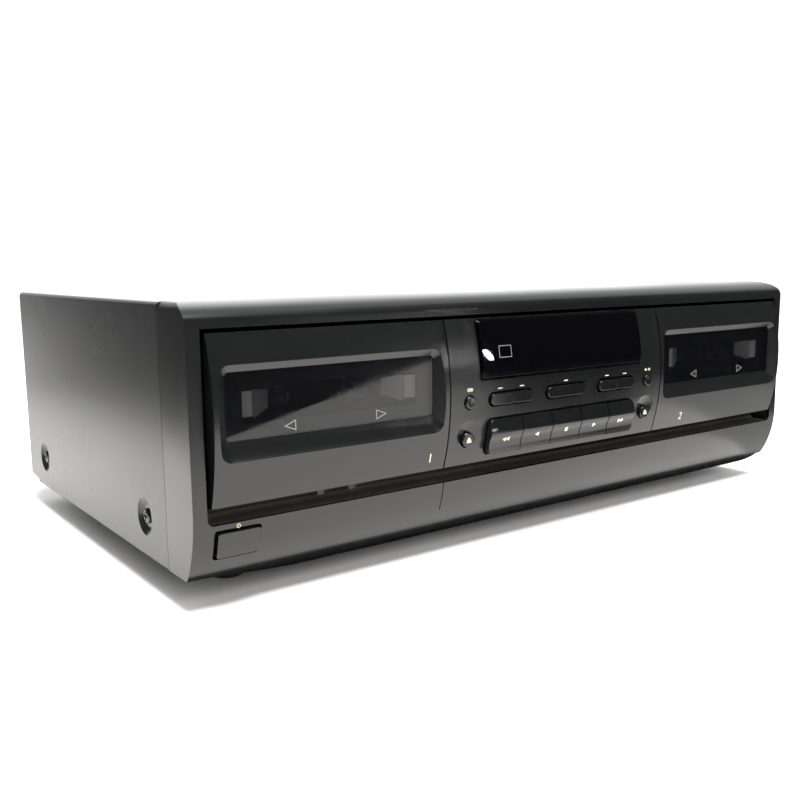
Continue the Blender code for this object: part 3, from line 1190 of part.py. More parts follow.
def make_mains_inlet():
    """The mains inlet: a box through the rear panel with a flange outside and a cavity for the plug."""
    z = CASE_Z + INLET_RISE
    half_w, half_h = INLET_W / 2, INLET_H / 2
    out = REAR_PANEL_Y + GAP + INLET_FLANGE_T
    inlet = block("mains_inlet", (-INLET_X - half_w, REAR_PANEL_Y - INLET_BODY_D, z - half_h),
                  (-INLET_X + half_w, out, z + half_h))
    wide, tall = half_w + INLET_FLANGE, half_h + INLET_FLANGE
    add(inlet, block("inlet_flange", (-INLET_X - wide, REAR_PANEL_Y + GAP, z - tall),
                     (-INLET_X + wide, out, z + tall)))
    wide, tall = half_w - INLET_WALL, half_h - INLET_WALL
    cut(inlet, block("inlet_cavity", (-INLET_X - wide, out - INLET_CAVITY_D, z - tall),
                     (-INLET_X + wide, out + OVERRUN, z + tall)))
    return finish(inlet, DARK_PLASTIC)


def make_main_board():
    """The main circuit board on four posts, with its cans, chips and heat sink."""
    rear = CHASSIS_REAR_Y - MAIN_BOARD_FROM_REAR
    front = rear - MAIN_BOARD_D
    left, right = MAIN_BOARD_X - MAIN_BOARD_W / 2, MAIN_BOARD_X + MAIN_BOARD_W / 2
    floor = CHASSIS_Z + SHEET + GAP
    low = CHASSIS_Z + SHEET + MAIN_BOARD_RISE
    top = low + BOARD_T
    board = block("main_board", (left, front, low), (right, rear, top))
    inside = low + BOARD_T / 2
    for x in (left + POST_INSET, right - POST_INSET):
        for y in (front + POST_INSET, rear - POST_INSET):
            add(board, rod("board_post", POST_R, (x, y, floor), (x, y, inside), SMALL_STEPS // 2))
    for at in range(CANS):
        x = left + POST_INSET + CAN_R + at * CAN_PITCH
        y = rear - POST_INSET * 2 - CAN_R
        add(board, rod("can", CAN_R, (x, y, inside), (x, y, top + CAN_H), SMALL_STEPS))
    middle = (front + rear) / 2
    for at in range(CHIPS):
        x = MAIN_BOARD_X + (at - 1) * CHIP_PITCH
        add(board, block("chip", (x - CHIP_W / 2, middle - CHIP_D / 2, inside),
                         (x + CHIP_W / 2, middle + CHIP_D / 2, top + CHIP_H)))
    add(board, block("heat_sink", (left + POST_INSET, front + POST_INSET * 2, inside),
                     (left + POST_INSET + SINK_W, front + POST_INSET * 2 + SINK_T, top + SINK_H)))
    return finish(board, BOARD_GREEN)


def make_transformer():
    """The mains transformer: an iron core on a foot plate, with the winding bulging out."""
    y = CHASSIS_REAR_Y - CORE_FROM_REAR
    floor = CHASSIS_Z + SHEET + GAP
    foot_top = floor + CORE_FOOT_T
    core = block("transformer", (-CORE_X - CORE_W / 2, y - CORE_D / 2, floor),
                 (-CORE_X + CORE_W / 2, y + CORE_D / 2, foot_top + CORE_H))
    add(core, block("core_foot", (-CORE_X - CORE_FOOT_W / 2, y - CORE_D / 3, floor),
                    (-CORE_X + CORE_FOOT_W / 2, y + CORE_D / 3, foot_top)))
    middle = foot_top + CORE_H / 2
    add(core, block("coil", (-CORE_X - COIL_W / 2, y - CORE_D / 2 - COIL_OUT, middle - COIL_H / 2),
                    (-CORE_X + COIL_W / 2, y + CORE_D / 2 + COIL_OUT, middle + COIL_H / 2)))
    return finish(core, CORE_IRON)


def main():
    """Make the case first, then the front, the keys, the two decks and what lies inside."""
    make_chassis()
    make_top_cover()
    make_cover_screws()
    make_rear_panel()
    make_feet()
    make_front_panel()
    make_centre_panel()
    make_display_window()
    make_power_button()
    stems = make_keys()
    make_key_board(stems)
    make_deck(1, -DOOR_X)
    make_deck(2, DOOR_X)
    make_main_board()
    make_transformer()
    make_line_jacks()
    make_mains_inlet()


main()
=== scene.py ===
# %% [markdown]
# # A double cassette deck
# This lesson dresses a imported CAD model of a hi-fi cassette deck. The CAD part has every panel, key
# and gear in its place, with plain shapes. Here each piece that shows gets fine edges, moulded
# curves and a finish of its own, and it rides on the CAD body that carries it, so that doors still
# open and keys still press. The first cell loads the CAD part, which is never moved or changed.

import math

import bmesh
import bpy
from mathutils import Matrix, Vector


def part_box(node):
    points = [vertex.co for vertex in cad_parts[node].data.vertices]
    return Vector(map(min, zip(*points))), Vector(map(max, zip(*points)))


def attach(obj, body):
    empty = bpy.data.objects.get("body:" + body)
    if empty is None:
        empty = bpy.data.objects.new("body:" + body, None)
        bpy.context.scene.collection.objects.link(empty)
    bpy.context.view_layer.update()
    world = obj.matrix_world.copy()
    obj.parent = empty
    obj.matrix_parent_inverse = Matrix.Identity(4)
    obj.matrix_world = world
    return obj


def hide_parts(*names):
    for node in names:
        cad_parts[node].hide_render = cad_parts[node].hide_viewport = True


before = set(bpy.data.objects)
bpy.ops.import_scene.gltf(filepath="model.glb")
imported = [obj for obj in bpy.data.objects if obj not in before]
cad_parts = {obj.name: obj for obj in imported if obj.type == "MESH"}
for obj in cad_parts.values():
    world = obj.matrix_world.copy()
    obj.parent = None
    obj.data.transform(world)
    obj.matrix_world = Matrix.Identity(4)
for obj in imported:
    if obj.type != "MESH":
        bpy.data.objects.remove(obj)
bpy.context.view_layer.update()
MM = 0.001

# %% [markdown]
# ## The camera
# A photograph's view is rebuilt from where the camera stood, how far it turned and tipped, and its
# lens. The turn is counted from looking straight at the front, towards the right. A camera in
# Blender looks down its own -Z with +Y up, so its matrix is made from those three directions.

# %% Make the camera
CAMERA_PLACE = Vector((-358.0, -474.0, 149.5)) * MM
CAMERA_TURN = math.radians(36.11)
CAMERA_TIP = math.radians(8.54)
CAMERA_ROLL = math.radians(-0.63)
CAMERA_LENS = 40.31

ahead = Vector((math.sin(CAMERA_TURN) * math.cos(CAMERA_TIP),
                math.cos(CAMERA_TURN) * math.cos(CAMERA_TIP), -math.sin(CAMERA_TIP)))
level = Vector((math.cos(CAMERA_TURN), -math.sin(CAMERA_TURN), 0))
upright = level.cross(ahead)
across = level * math.cos(CAMERA_ROLL) + upright * math.sin(CAMERA_ROLL)
above = upright * math.cos(CAMERA_ROLL) - level * math.sin(CAMERA_ROLL)
view = Matrix((across, above, -ahead)).transposed().to_4x4()
view.translation = CAMERA_PLACE

camera = bpy.data.objects.new("camera", bpy.data.cameras.new("camera"))
camera.data.lens = CAMERA_LENS
camera.data.sensor_width = 36.0
camera.data.clip_start = 0.01
camera.matrix_world = view
bpy.context.scene.collection.objects.link(camera)
bpy.context.scene.camera = camera
print("camera looks along", tuple(round(part, 3) for part in ahead))

# %% [markdown]
# ## Floor and light
# The deck stands on a large white table, lit so brightly that the table turns pure white, while the
# room in front of it is dark. Black plastic has little colour of its own, so it shows what it
# reflects: the table low down and the dark room higher up. Dark cards stand for the room. A black
# card under the front is a painted shadow, the shade of the table under the lip, which darkens the
# lip, and a grey card is painted shade on the table at the right front. They are seen by reflections
# alone, so they neither block the view nor cast a shadow. A big soft light hangs above, a dim one
# fills in from the front, and a narrow one makes the bright spot on the display.

# %% Set the floor and the cards
FLOOR_SIZE = 6.4
CARD_LIFT = 2.0 * MM
CARD_REACH = 6.0
CARD_TALL = 1.1
TABLE_FRONT = Vector((-30.0, -495.0)) * MM
TABLE_ALONG = Vector((0.8, -0.6))
TABLE_NEAR = Vector((-0.6, -0.8))
TABLE_LEFT, SIDE_CARD = -372.0 * MM, (-0.35, 0.72)
TABLE_RIGHT, RIGHT_CARD = 420.0 * MM, (-0.15, -0.60)
# Painted shadow: a black card on the table under the front, standing for the shade under the lip.
PAINTED_SHADOW_CARD = (-0.213, 0.24, -0.124, -0.05)
# Painted shade: a grey card on the table at the right front, which dims its reflection there.
PAINTED_SHADE_CARD = ((0.216, -0.12), (0.42, -0.12), (0.42, -0.60), (0.30, -0.60))
PANEL_CARD = ((0.045, -0.247), (0.16, -0.205))
PANEL_CARD_LOW = 12.0 * MM


def shaded(name, colour, roughness, metallic=0.0, specular=0.5, alpha=1.0):
    """Start a material: a Principled shader with its constant numbers set on its own sockets."""
    material = bpy.data.materials.new(name)
    material.use_nodes = True
    shader = material.node_tree.nodes["Principled BSDF"]
    shader.inputs["Base Color"].default_value = (*colour, 1)
    shader.inputs["Roughness"].default_value = roughness
    shader.inputs["Metallic"].default_value = metallic
    shader.inputs["Specular IOR Level"].default_value = specular
    shader.inputs["Alpha"].default_value = alpha
    return material, shader


def rect(left, right, low, high):
    """A rectangle's corners, from its low left corner round."""
    return [(left, low), (right, low), (right, high), (left, high)]


def lone_object(name, shape):
    """Turn a shape into a mesh and put it in the scene as an object."""
    mesh = bpy.data.meshes.new(name)
    shape.to_mesh(mesh)
    shape.free()
    thing = bpy.data.objects.new(name, mesh)
    bpy.context.scene.collection.objects.link(thing)
    return thing


def stage_sheet(name, corners, material, seen=False):
    """A flat sheet that belongs to the stage. Only reflections see it, unless seen is set."""
    shape = bmesh.new()
    shape.faces.new([shape.verts.new(corner) for corner in corners])
    sheet = lone_object(name, shape)
    sheet.data.materials.append(material)
    sheet.visible_camera = seen
    sheet.visible_diffuse = seen
    sheet.visible_shadow = seen


def stage_card(name, points, material, low=CARD_LIFT):
    """A card flat on the floor, or an upright one over a line where only two points are given."""
    corners = [(x, y, low) for x, y in points]
    if len(points) == 2:
        corners += [(x, y, CARD_TALL) for x, y in reversed(points)]
    stage_sheet(name, corners, material)


card_black = shaded("card_black", (0.014, 0.014, 0.014), 0.9, specular=0.2)[0]
# Painted shade: the grey of the card that dims the table at the right front.
painted_shade_grey = shaded("painted_shade_grey", (0.42, 0.42, 0.41), 0.8, specular=0.2)[0]
table_white = shaded("table_white", (0.88, 0.865, 0.845), 0.6, specular=0.2)[0]
half = FLOOR_SIZE / 2
stage_sheet("floor", [(x, y, 0) for x, y in rect(-half, half, -half, half)], table_white, True)
along, near = TABLE_ALONG * CARD_REACH, TABLE_NEAR * CARD_REACH
stage_card("front_card", [TABLE_FRONT - along, TABLE_FRONT - along + near, TABLE_FRONT + along + near,
                          TABLE_FRONT + along], card_black)
stage_card("side_card", [(TABLE_LEFT, y) for y in SIDE_CARD], card_black, 0)
stage_card("right_card", [(TABLE_RIGHT, y) for y in RIGHT_CARD], card_black, 0)
# Painted shade: a grey card that dims the table's reflection at the right front.
stage_card("painted_shade_card", PAINTED_SHADE_CARD, painted_shade_grey)
# Painted shadow: a black card for the shade on the table under the front's lip.
stage_card("painted_shadow_card", rect(*PAINTED_SHADOW_CARD), card_black)
stage_card("panel_card", PANEL_CARD, card_black, PANEL_CARD_LOW)

# %% Set the lights
CEILING = ((-0.1, -1.2, 3.6), (1.6, 1.6), 340.0)
FILL = ((-0.3, -2.8, 1.5), (1.8, 1.8), 70.0)
SLIT = ((1.27, -1.61, 0.375), (0.014, 0.30), 0.0035)
CEILING_COLOUR = (1.0, 0.985, 0.96)
SLIT_AIM = (-0.06, -0.137, 0.104)
SLIT_SPREAD = 5.0
SKY_DARK, SKY_BRIGHT, SKY_GLOW = 0.05, 0.95, 1.7
SKY_COLOUR = (0.98, 0.99, 1.0, 1)
OVERHEAD_WAY = (0.0, 0.5, 0.85)
BACKDROP_WHITE = 1.3


def soft_light(name, place, size, power, aim=(0, 0, 0)):
    """An area light of some width and height that points at a place."""
    light = bpy.data.lights.new(name, "AREA")
    light.shape = "RECTANGLE"
    light.size, light.size_y = size
    light.energy = power
    lamp = bpy.data.objects.new(name, light)
    lamp.location = place
    lamp.rotation_mode = "QUATERNION"
    lamp.rotation_quaternion = (Vector(aim) - Vector(place)).to_track_quat("-Z", "Y")
    bpy.context.scene.collection.objects.link(lamp)
    return lamp


def add_node(tree, kind, values=(), wires=(), **settings):
    """Add a shader node: its settings, numbers for its sockets, and links into them."""
    node = tree.nodes.new(f"ShaderNode{kind}")
    for name, value in settings.items():
        setattr(node, name, value)
    for socket, value in dict(values).items():
        node.inputs[socket].default_value = value
    for socket, output in dict(wires).items():
        tree.links.new(output, node.inputs[socket])
    return node


def sky_share(tree, part, low, high):
    """A number that goes from 0 to 1 as a direction's part goes from one limit to the other."""
    share = add_node(tree, "MapRange", {"From Min": low, "From Max": high}, {"Value": part},
                     interpolation_type="SMOOTHSTEP")
    return share.outputs["Result"]


def make_sky():
    """A world that is white to the camera, and to everything else bright above and behind."""
    world = bpy.data.worlds.new("studio")
    world.use_nodes = True
    bpy.context.scene.world = world
    tree = world.node_tree
    way = add_node(tree, "TexCoord").outputs["Generated"]
    parts = add_node(tree, "SeparateXYZ", wires={"Vector": way}).outputs
    slant = add_node(tree, "VectorMath", {1: OVERHEAD_WAY}, {0: way}, operation="DOT_PRODUCT")
    behind = sky_share(tree, parts["Y"], -0.25, 0.35)
    overhead = sky_share(tree, slant.outputs["Value"], 0.25, 0.65)
    brighter = add_node(tree, "Math", wires={0: behind, 1: overhead}, operation="MAXIMUM")
    strength = add_node(tree, "MapRange", {"To Min": SKY_DARK, "To Max": SKY_BRIGHT},
                        {"Value": brighter.outputs["Value"]})
    glow = add_node(tree, "Math", wires={0: sky_share(tree, parts["Y"], 0.35, 0.75),
                                         1: sky_share(tree, parts["X"], 0.0, 0.3)}, operation="MULTIPLY")
    added = add_node(tree, "Math", {1: SKY_GLOW},
                     {0: glow.outputs["Value"], 2: strength.outputs["Result"]}, operation="MULTIPLY_ADD")
    backdrop = tree.nodes["Background"]
    backdrop.inputs["Color"].default_value = SKY_COLOUR
    tree.links.new(added.outputs["Value"], backdrop.inputs["Strength"])
    white = add_node(tree, "Background", {"Color": (1, 1, 1, 1), "Strength": BACKDROP_WHITE})
    seen = add_node(tree, "LightPath").outputs["Is Camera Ray"]
    choose = add_node(tree, "MixShader", wires={"Fac": seen, 1: backdrop.outputs["Background"],
                                                2: white.outputs["Background"]})
    tree.links.new(choose.outputs["Shader"], tree.nodes["World Output"].inputs["Surface"])


soft_light("ceiling", *CEILING).data.color = CEILING_COLOUR
soft_light("fill", *FILL).visible_glossy = False
soft_light("window_slit", *SLIT, SLIT_AIM).data.spread = math.radians(SLIT_SPREAD)
make_sky()
bpy.context.scene.view_settings.view_transform = "Standard"
print("stage ready")

# %% [markdown]
# ## Finishes
# Moulded plastic isn't one flat colour. It has a fine grain from its mould, patches that are more or
# less rubbed, and a little dust. Each finish below is one Principled shader with the same few nodes:
# a fine noise for the grain's bump, a broad noise that shifts the roughness, and a slow one that
# shifts the colour. They read Object coordinates, so a pattern stays on its piece as it moves.

# %% Define the finishes
CHARCOAL = (0.0050, 0.0056, 0.0057)
NOISE_LOW, NOISE_HIGH = 0.3, 0.7


def noise(shader, scale, detail=3.0, stretch=(1, 1, 1)):
    """A noise texture on Object coordinates, finer as its scale grows."""
    tree = shader.id_data
    place = add_node(tree, "TexCoord").outputs["Object"]
    mapping = add_node(tree, "Mapping", {"Scale": stretch}, {"Vector": place})
    texture = add_node(tree, "TexNoise", {"Scale": scale, "Detail": detail},
                       {"Vector": mapping.outputs["Vector"]})
    return texture.outputs["Fac"]


def vary(shader, pattern, low, high):
    """Let a noise move the roughness between two limits."""
    tree = shader.id_data
    limits = {"From Min": NOISE_LOW, "From Max": NOISE_HIGH, "To Min": low, "To Max": high}
    share = add_node(tree, "MapRange", limits, {"Value": pattern})
    tree.links.new(share.outputs["Result"], shader.inputs["Roughness"])


def tint(shader, pattern, dark, light, low=NOISE_LOW, high=NOISE_HIGH):
    """Let a noise blend the base colour from one colour to another."""
    tree = shader.id_data
    blend = add_node(tree, "ValToRGB", wires={"Fac": pattern})
    for stop, at, colour in zip(blend.color_ramp.elements, (low, high), (dark, light)):
        stop.position = at
        stop.color = (*colour, 1)
    tree.links.new(blend.outputs["Color"], shader.inputs["Base Color"])


def grain(shader, pattern, strength, depth):
    """Turn a fine noise into a bump of a real depth."""
    tree = shader.id_data
    bump = add_node(tree, "Bump", {"Strength": strength, "Distance": depth}, {"Height": pattern})
    tree.links.new(bump.outputs["Normal"], shader.inputs["Normal"])


def shade(colour, factor):
    """A colour made darker or lighter."""
    return tuple(part * factor for part in colour)


def moulded(name, colour, rough, grain_size=0.35, depth=0.012):
    """Moulded plastic: fine grain, rubbed patches and a slow drift of colour."""
    material, shader = shaded(name, colour, rough)
    grain(shader, noise(shader, 1 / (grain_size * MM), 2.0), 0.6, depth * MM)
    vary(shader, noise(shader, 14.0, 4.0), rough * 0.88, rough * 1.12)
    tint(shader, noise(shader, 45.0, 5.0), shade(colour, 0.9), shade(colour, 1.1))
    return material


def brushed(name, colour, rough, along=(1, 14, 14), scale=260.0, metallic=1.0):
    """Sheet metal: long fine streaks in its roughness and bump."""
    material, shader = shaded(name, colour, rough, metallic=metallic)
    streaks = noise(shader, scale, 4.0, along)
    grain(shader, streaks, 0.25, 0.01 * MM)
    vary(shader, streaks, rough * 0.75, rough * 1.3)
    tint(shader, noise(shader, 20.0, 4.0), shade(colour, 0.86), shade(colour, 1.05))
    return material


charcoal = moulded("charcoal_moulding", CHARCOAL, 0.24)
door_plastic = moulded("door_moulding", CHARCOAL, 0.22)
panel_plastic = moulded("panel_moulding", CHARCOAL, 0.27)
key_plastic = moulded("key_moulding", (0.0045, 0.0048, 0.0052), 0.2, grain_size=0.25)
black_plastic = moulded("black_moulding", (0.006, 0.006, 0.0065), 0.5)
pale_plastic = moulded("pale_moulding", (0.46, 0.46, 0.46), 0.4)
spindle_plastic = moulded("spindle_moulding", (0.022, 0.022, 0.023), 0.42)
white_ring = moulded("white_ring", (0.66, 0.66, 0.63), 0.4)
red_ring = moulded("red_ring", (0.42, 0.012, 0.012), 0.4)
foot_rubber = moulded("foot_rubber", (0.016, 0.016, 0.016), 0.8, grain_size=0.5, depth=0.03)
belt_rubber = moulded("belt_rubber", (0.013, 0.013, 0.013), 0.7, grain_size=0.3, depth=0.02)
# Painted light: the channel floor gets a lighter grey than the charcoal, for light on a floor the doors
# shade.
channel_lit_grey = moulded("channel_painted_light", (0.055, 0.051, 0.046), 0.5)
board_lacquer = moulded("board_lacquer", (0.20, 0.12, 0.035), 0.35, grain_size=0.8)
ink_cream = moulded("printed_cream", (0.62, 0.58, 0.42), 0.5)
ink_grey = moulded("printed_grey", (0.26, 0.26, 0.25), 0.5)
zinc = brushed("zinc_sheet", (0.60, 0.60, 0.57), 0.34)
dark_zinc = brushed("blackened_sheet", (0.035, 0.035, 0.034), 0.42)
screw_black = brushed("blackened_steel", (0.10, 0.10, 0.10), 0.32, scale=500.0)
steel = brushed("turned_steel", (0.74, 0.74, 0.74), 0.2, along=(12, 1, 12))
core_iron = brushed("core_iron", (0.13, 0.12, 0.12), 0.45, along=(1, 60, 1), scale=60.0, metallic=0.8)
print("finishes:", len(bpy.data.materials))

# %% [markdown]
# The cover is steel with a satin paint. Sprayed paint has a faint orange-peel swell, finer specks and
# a few dust motes on top. The display and the windows are polished, so they have almost no grain,
# only soft smears that show where a reflection breaks up.

# %% Paint, gloss and smoked window
DUST_LOW, DUST_HIGH = 0.76, 0.80


def sprayed(name, colour, rough):
    """Satin paint on steel: a slow swell, fine specks and pale dust."""
    material, shader = shaded(name, colour, rough)
    grain(shader, noise(shader, 420.0, 2.0), 0.3, 0.006 * MM)
    vary(shader, noise(shader, 9.0, 4.0), rough * 0.97, rough * 1.03)
    tint(shader, noise(shader, 2600.0, 1.0), colour, shade(colour, 3.2), DUST_LOW, DUST_HIGH)
    return material


def polished(name, colour, rough, alpha=1.0, ior=1.5, spread=0.05):
    """Polished plastic: smears in the gloss, and a clear body where alpha is low."""
    material, shader = shaded(name, colour, rough, alpha=alpha)
    shader.inputs["IOR"].default_value = ior
    vary(shader, noise(shader, 28.0, 6.0, (1, 1, 0.35)), rough, rough + spread)
    tint(shader, noise(shader, 12.0, 2.0), shade(colour, 0.9), shade(colour, 1.1))
    return material


cover_paint = sprayed("satin_paint", (0.010, 0.0115, 0.0115), 0.27)
gloss_black = polished("display_gloss", (0.0008, 0.0008, 0.0013), 0.015, spread=0.012)
smoked = polished("smoked_window", (0.0022, 0.0024, 0.0035), 0.015, alpha=0.5, ior=1.58)
mask_black = polished("window_mask", (0.003, 0.003, 0.004), 0.2)

# %% [markdown]
# ## Tools for shapes
# Most of the deck is moulded or folded from flat outlines, so three helpers do most of the work. One
# pulls an outline into a solid, one turns a profile about a line, and one takes shapes away from each
# other with Boolean modifiers and keeps the result. A last one rounds the sharp edges, because real
# edges catch a thin line of light, and that line tells the eye how big a thing is.

# %% Outlines and arcs
ARC_STEPS = 48
CORNER_STEPS = 8
FINE_CORNER_STEPS = 14
ROUND_STEPS = 64


def arc(centre, radius, start, end, steps=CORNER_STEPS):
    """Points on an arc, with its angles in degrees."""
    angles = [math.radians(start + (end - start) * at / steps) for at in range(steps + 1)]
    a, b = centre
    return [(a + radius * math.cos(angle), b + radius * math.sin(angle)) for angle in angles]


def rounded(left, right, low, high, radius, steps=CORNER_STEPS):
    """A rectangle with round corners, from its low left corner round."""
    corners = ((left + radius, low + radius, 180), (right - radius, low + radius, 270),
               (right - radius, high - radius, 0), (left + radius, high - radius, 90))
    return [point for a, b, start in corners for point in arc((a, b), radius, start, start + 90, steps)]


def middle(node):
    """The middle of a CAD node's box."""
    return tuple((a + b) / 2 for a, b in zip(*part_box(node)))


def placed(axis, a, b, at):
    """An outline's point in space: (y, z) across X, (x, z) across Y and (x, y) across Z."""
    return {"X": (at, a, b), "Y": (a, at, b), "Z": (a, b, at)}[axis]


def moved_verts(made):
    """The vertices in what an operator gave back."""
    return [item for item in made if isinstance(item, bmesh.types.BMVert)]


def slab(points, axis, low, high):
    """Pull a flat outline into a solid along an axis."""
    shape = bmesh.new()
    face = shape.faces.new([shape.verts.new(placed(axis, a, b, low)) for a, b in points])
    made = bmesh.ops.extrude_face_region(shape, geom=[face])["geom"]
    bmesh.ops.translate(shape, vec=Vector(placed(axis, 0, 0, high - low)), verts=moved_verts(made))
    bmesh.ops.recalc_face_normals(shape, faces=shape.faces)
    return shape


def box(low, high):
    """A plain box between two corners."""
    low, high = Vector(low), Vector(high)
    shape = bmesh.new()
    bmesh.ops.create_cube(shape, size=1)
    bmesh.ops.scale(shape, vec=high - low, verts=shape.verts)
    bmesh.ops.translate(shape, vec=(low + high) / 2, verts=shape.verts)
    return shape


def lathe(profile, centre, axis, steps=ROUND_STEPS):
    """Spin (radius, reach) pairs about an axis through a centre. Reach counts along the axis."""
    axis = Vector(axis)
    side = axis.orthogonal().normalized()
    shape = bmesh.new()
    verts = [shape.verts.new(side * radius + axis * reach) for radius, reach in profile]
    edges = [shape.edges.new(pair) for pair in zip(verts, verts[1:])]
    bmesh.ops.spin(shape, geom=verts + edges, cent=(0, 0, 0), axis=axis, angle=2 * math.pi, steps=steps,
                   use_merge=True)
    bmesh.ops.remove_doubles(shape, verts=shape.verts, dist=0.002 * MM)
    bmesh.ops.recalc_face_normals(shape, faces=shape.faces)
    bmesh.ops.translate(shape, vec=Vector(centre), verts=shape.verts)
    return shape


# %% Booleans, round edges and finished pieces


def evaluated_shape(thing):
    """A new shape from an object with its modifiers done."""
    graph = bpy.context.evaluated_depsgraph_get()
    mesh = bpy.data.meshes.new_from_object(thing.evaluated_get(graph))
    shape = bmesh.new()
    shape.from_mesh(mesh)
    bpy.data.meshes.remove(mesh)
    return shape


def combine(shape, tools, operation="DIFFERENCE"):
    """Run one Boolean for each tool, and give the result back as a new shape."""
    base = lone_object("base", shape)
    cutters = [lone_object("tool", tool) for tool in tools]
    for cutter in cutters:
        step = base.modifiers.new("step", "BOOLEAN")
        step.operation = operation
        step.solver = "EXACT"
        step.object = cutter
    result = evaluated_shape(base)
    for thing in (base, *cutters):
        old = thing.data
        bpy.data.objects.remove(thing)
        bpy.data.meshes.remove(old)
    return result


def soften(shape, width, angle=32.0, segments=2, pick=None):
    """Round every edge that is sharper than an angle, or those of them that pick accepts."""
    bmesh.ops.dissolve_limit(shape, angle_limit=math.radians(0.3), verts=shape.verts, edges=shape.edges)
    limit = math.radians(angle)
    sharp = [edge for edge in shape.edges
             if edge.is_manifold and edge.calc_face_angle() > limit and (pick is None or pick(edge))]
    bmesh.ops.bevel(shape, geom=sharp, offset=width, offset_type="OFFSET", segments=segments,
                    profile=0.5, affect="EDGES", material=-1, clamp_overlap=True)
    return shape


def piece(name, shape, material, body, replaces=(), crease=40.0):
    """Make a shape a finished piece that rides on a CAD body and stands for CAD nodes."""
    thing = lone_object(name, shape)
    thing.data.shade_smooth()
    thing.data.set_sharp_from_angle(angle=math.radians(crease))
    thing.data.materials.append(material)
    even = thing.modifiers.new("even_normals", "WEIGHTED_NORMAL")
    even.keep_sharp = True
    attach(thing, body)
    if replaces:
        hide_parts(*replaces)
    return thing


def join(shapes):
    """Several shapes as one."""
    whole = bmesh.new()
    for shape in shapes:
        mesh = bpy.data.meshes.new("part")
        shape.to_mesh(mesh)
        shape.free()
        whole.from_mesh(mesh)
        bpy.data.meshes.remove(mesh)
    return whole


def copied(node):
    """A CAD node's mesh as a clean shape: its loose triangles merged and its flat areas made whole."""
    shape = bmesh.new()
    shape.from_mesh(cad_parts[node].data)
    bmesh.ops.remove_doubles(shape, verts=shape.verts, dist=0.001 * MM)
    bmesh.ops.dissolve_limit(shape, angle_limit=math.radians(0.5), verts=shape.verts, edges=shape.edges)
    return shape


# %% [markdown]
# ## The front's curves
# Seen from the side, the doors and the panel between them share one shallow arc, and the lower front
# curves back under the deck. The arc is read off the CAD boxes: its radius follows from its height
# and how far it bulges. The lower front starts at the panel's face and rolls back with given radii.
# Later pieces and printed marks ask these functions where the surface is.

# %% Measure the front
front_low, front_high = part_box("front_panel")
door_low, door_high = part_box("door_1_panel")
cover_low, cover_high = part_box("top_cover")
FACE_Y = front_low.y
BULGE = FACE_Y - door_low.y
DOOR_MID = (door_low.z + door_high.z) / 2
HALF_CHORD = (door_high.z - door_low.z) / 2
BULGE_R = (HALF_CHORD ** 2 + BULGE ** 2) / (2 * BULGE)
LOWER_R = 60.5 * MM
LOWER_TOP = 48.0 * MM
ROLL_Z = 20.0 * MM
ROLL_R = 23.0 * MM
CHANNEL_Z = 40.8 * MM
RECESS_TOP = 124.7 * MM
RECESS_X = 208.5 * MM


def bulge_y(height, out=0.0):
    """Where the bulged front lies at a height."""
    return FACE_Y - BULGE + BULGE_R - math.sqrt((BULGE_R + out) ** 2 - (height - DOOR_MID) ** 2)


def lower_y(height, inside=0.0):
    """Where the lower front lies at a height: a wide arc, then a tighter roll at its lip."""
    drop = max(0.0, LOWER_TOP - max(height, ROLL_Z))
    wide = FACE_Y + LOWER_R - math.sqrt((LOWER_R - inside) ** 2 - drop ** 2)
    if height >= ROLL_Z:
        return wide
    turn = math.asin(drop / LOWER_R)
    fall = ROLL_R * math.sin(turn) + ROLL_Z - height
    return wide + ROLL_R * math.cos(turn) - math.sqrt(ROLL_R ** 2 - fall ** 2)


def bulge_line(low, high, out=0.0, steps=ARC_STEPS):
    """Points up the bulged front."""
    return [(bulge_y(low + (high - low) * at / steps, out), low + (high - low) * at / steps)
            for at in range(steps + 1)]


def bulged_block(low, high):
    """A block between two corners with the bulge for its front."""
    return slab(bulge_line(low.z, high.z) + [(high.y, high.z), (high.y, low.z)], "X", low.x, high.x)


print("bulge radius in mm:", round(BULGE_R / MM, 1))

# %% [markdown]
# ## The cover
# The cover is one sheet of steel folded twice. Its sides carry four pressed dimples, so that the
# screw heads stay inside the case's width. The sheet is pulled from a U outline, the back of each
# dimple is welded on as a turned cone, and a second cone presses the front. A soft lip around each
# dimple comes from a rounded profile.

# %% Fold the cover
SHEET = 1.0 * MM
BEND_R = 2.5 * MM
LIP_H = 12.0 * MM
DIMPLE_R = 9.0 * MM
DIMPLE_FLOOR_R = 5.5 * MM
DIMPLE_DEPTH = 2.0 * MM
CORNER_CUT_L = 25.0 * MM
CORNER_CUT_H = 2.6 * MM
OVERRUN = 3.0 * MM
HOLE_R = 2.1 * MM
SCREW_PLACES = ("front_left", "front_right", "rear_left", "rear_right")


def u_outline(half, low, high, radius):
    """An upside-down U: open at its foot, with two round bends."""
    return [(-half, low), (half, low)] + arc((half - radius, high - radius), radius, 0, 90) + \
        arc((radius - half, high - radius), radius, 90, 180)


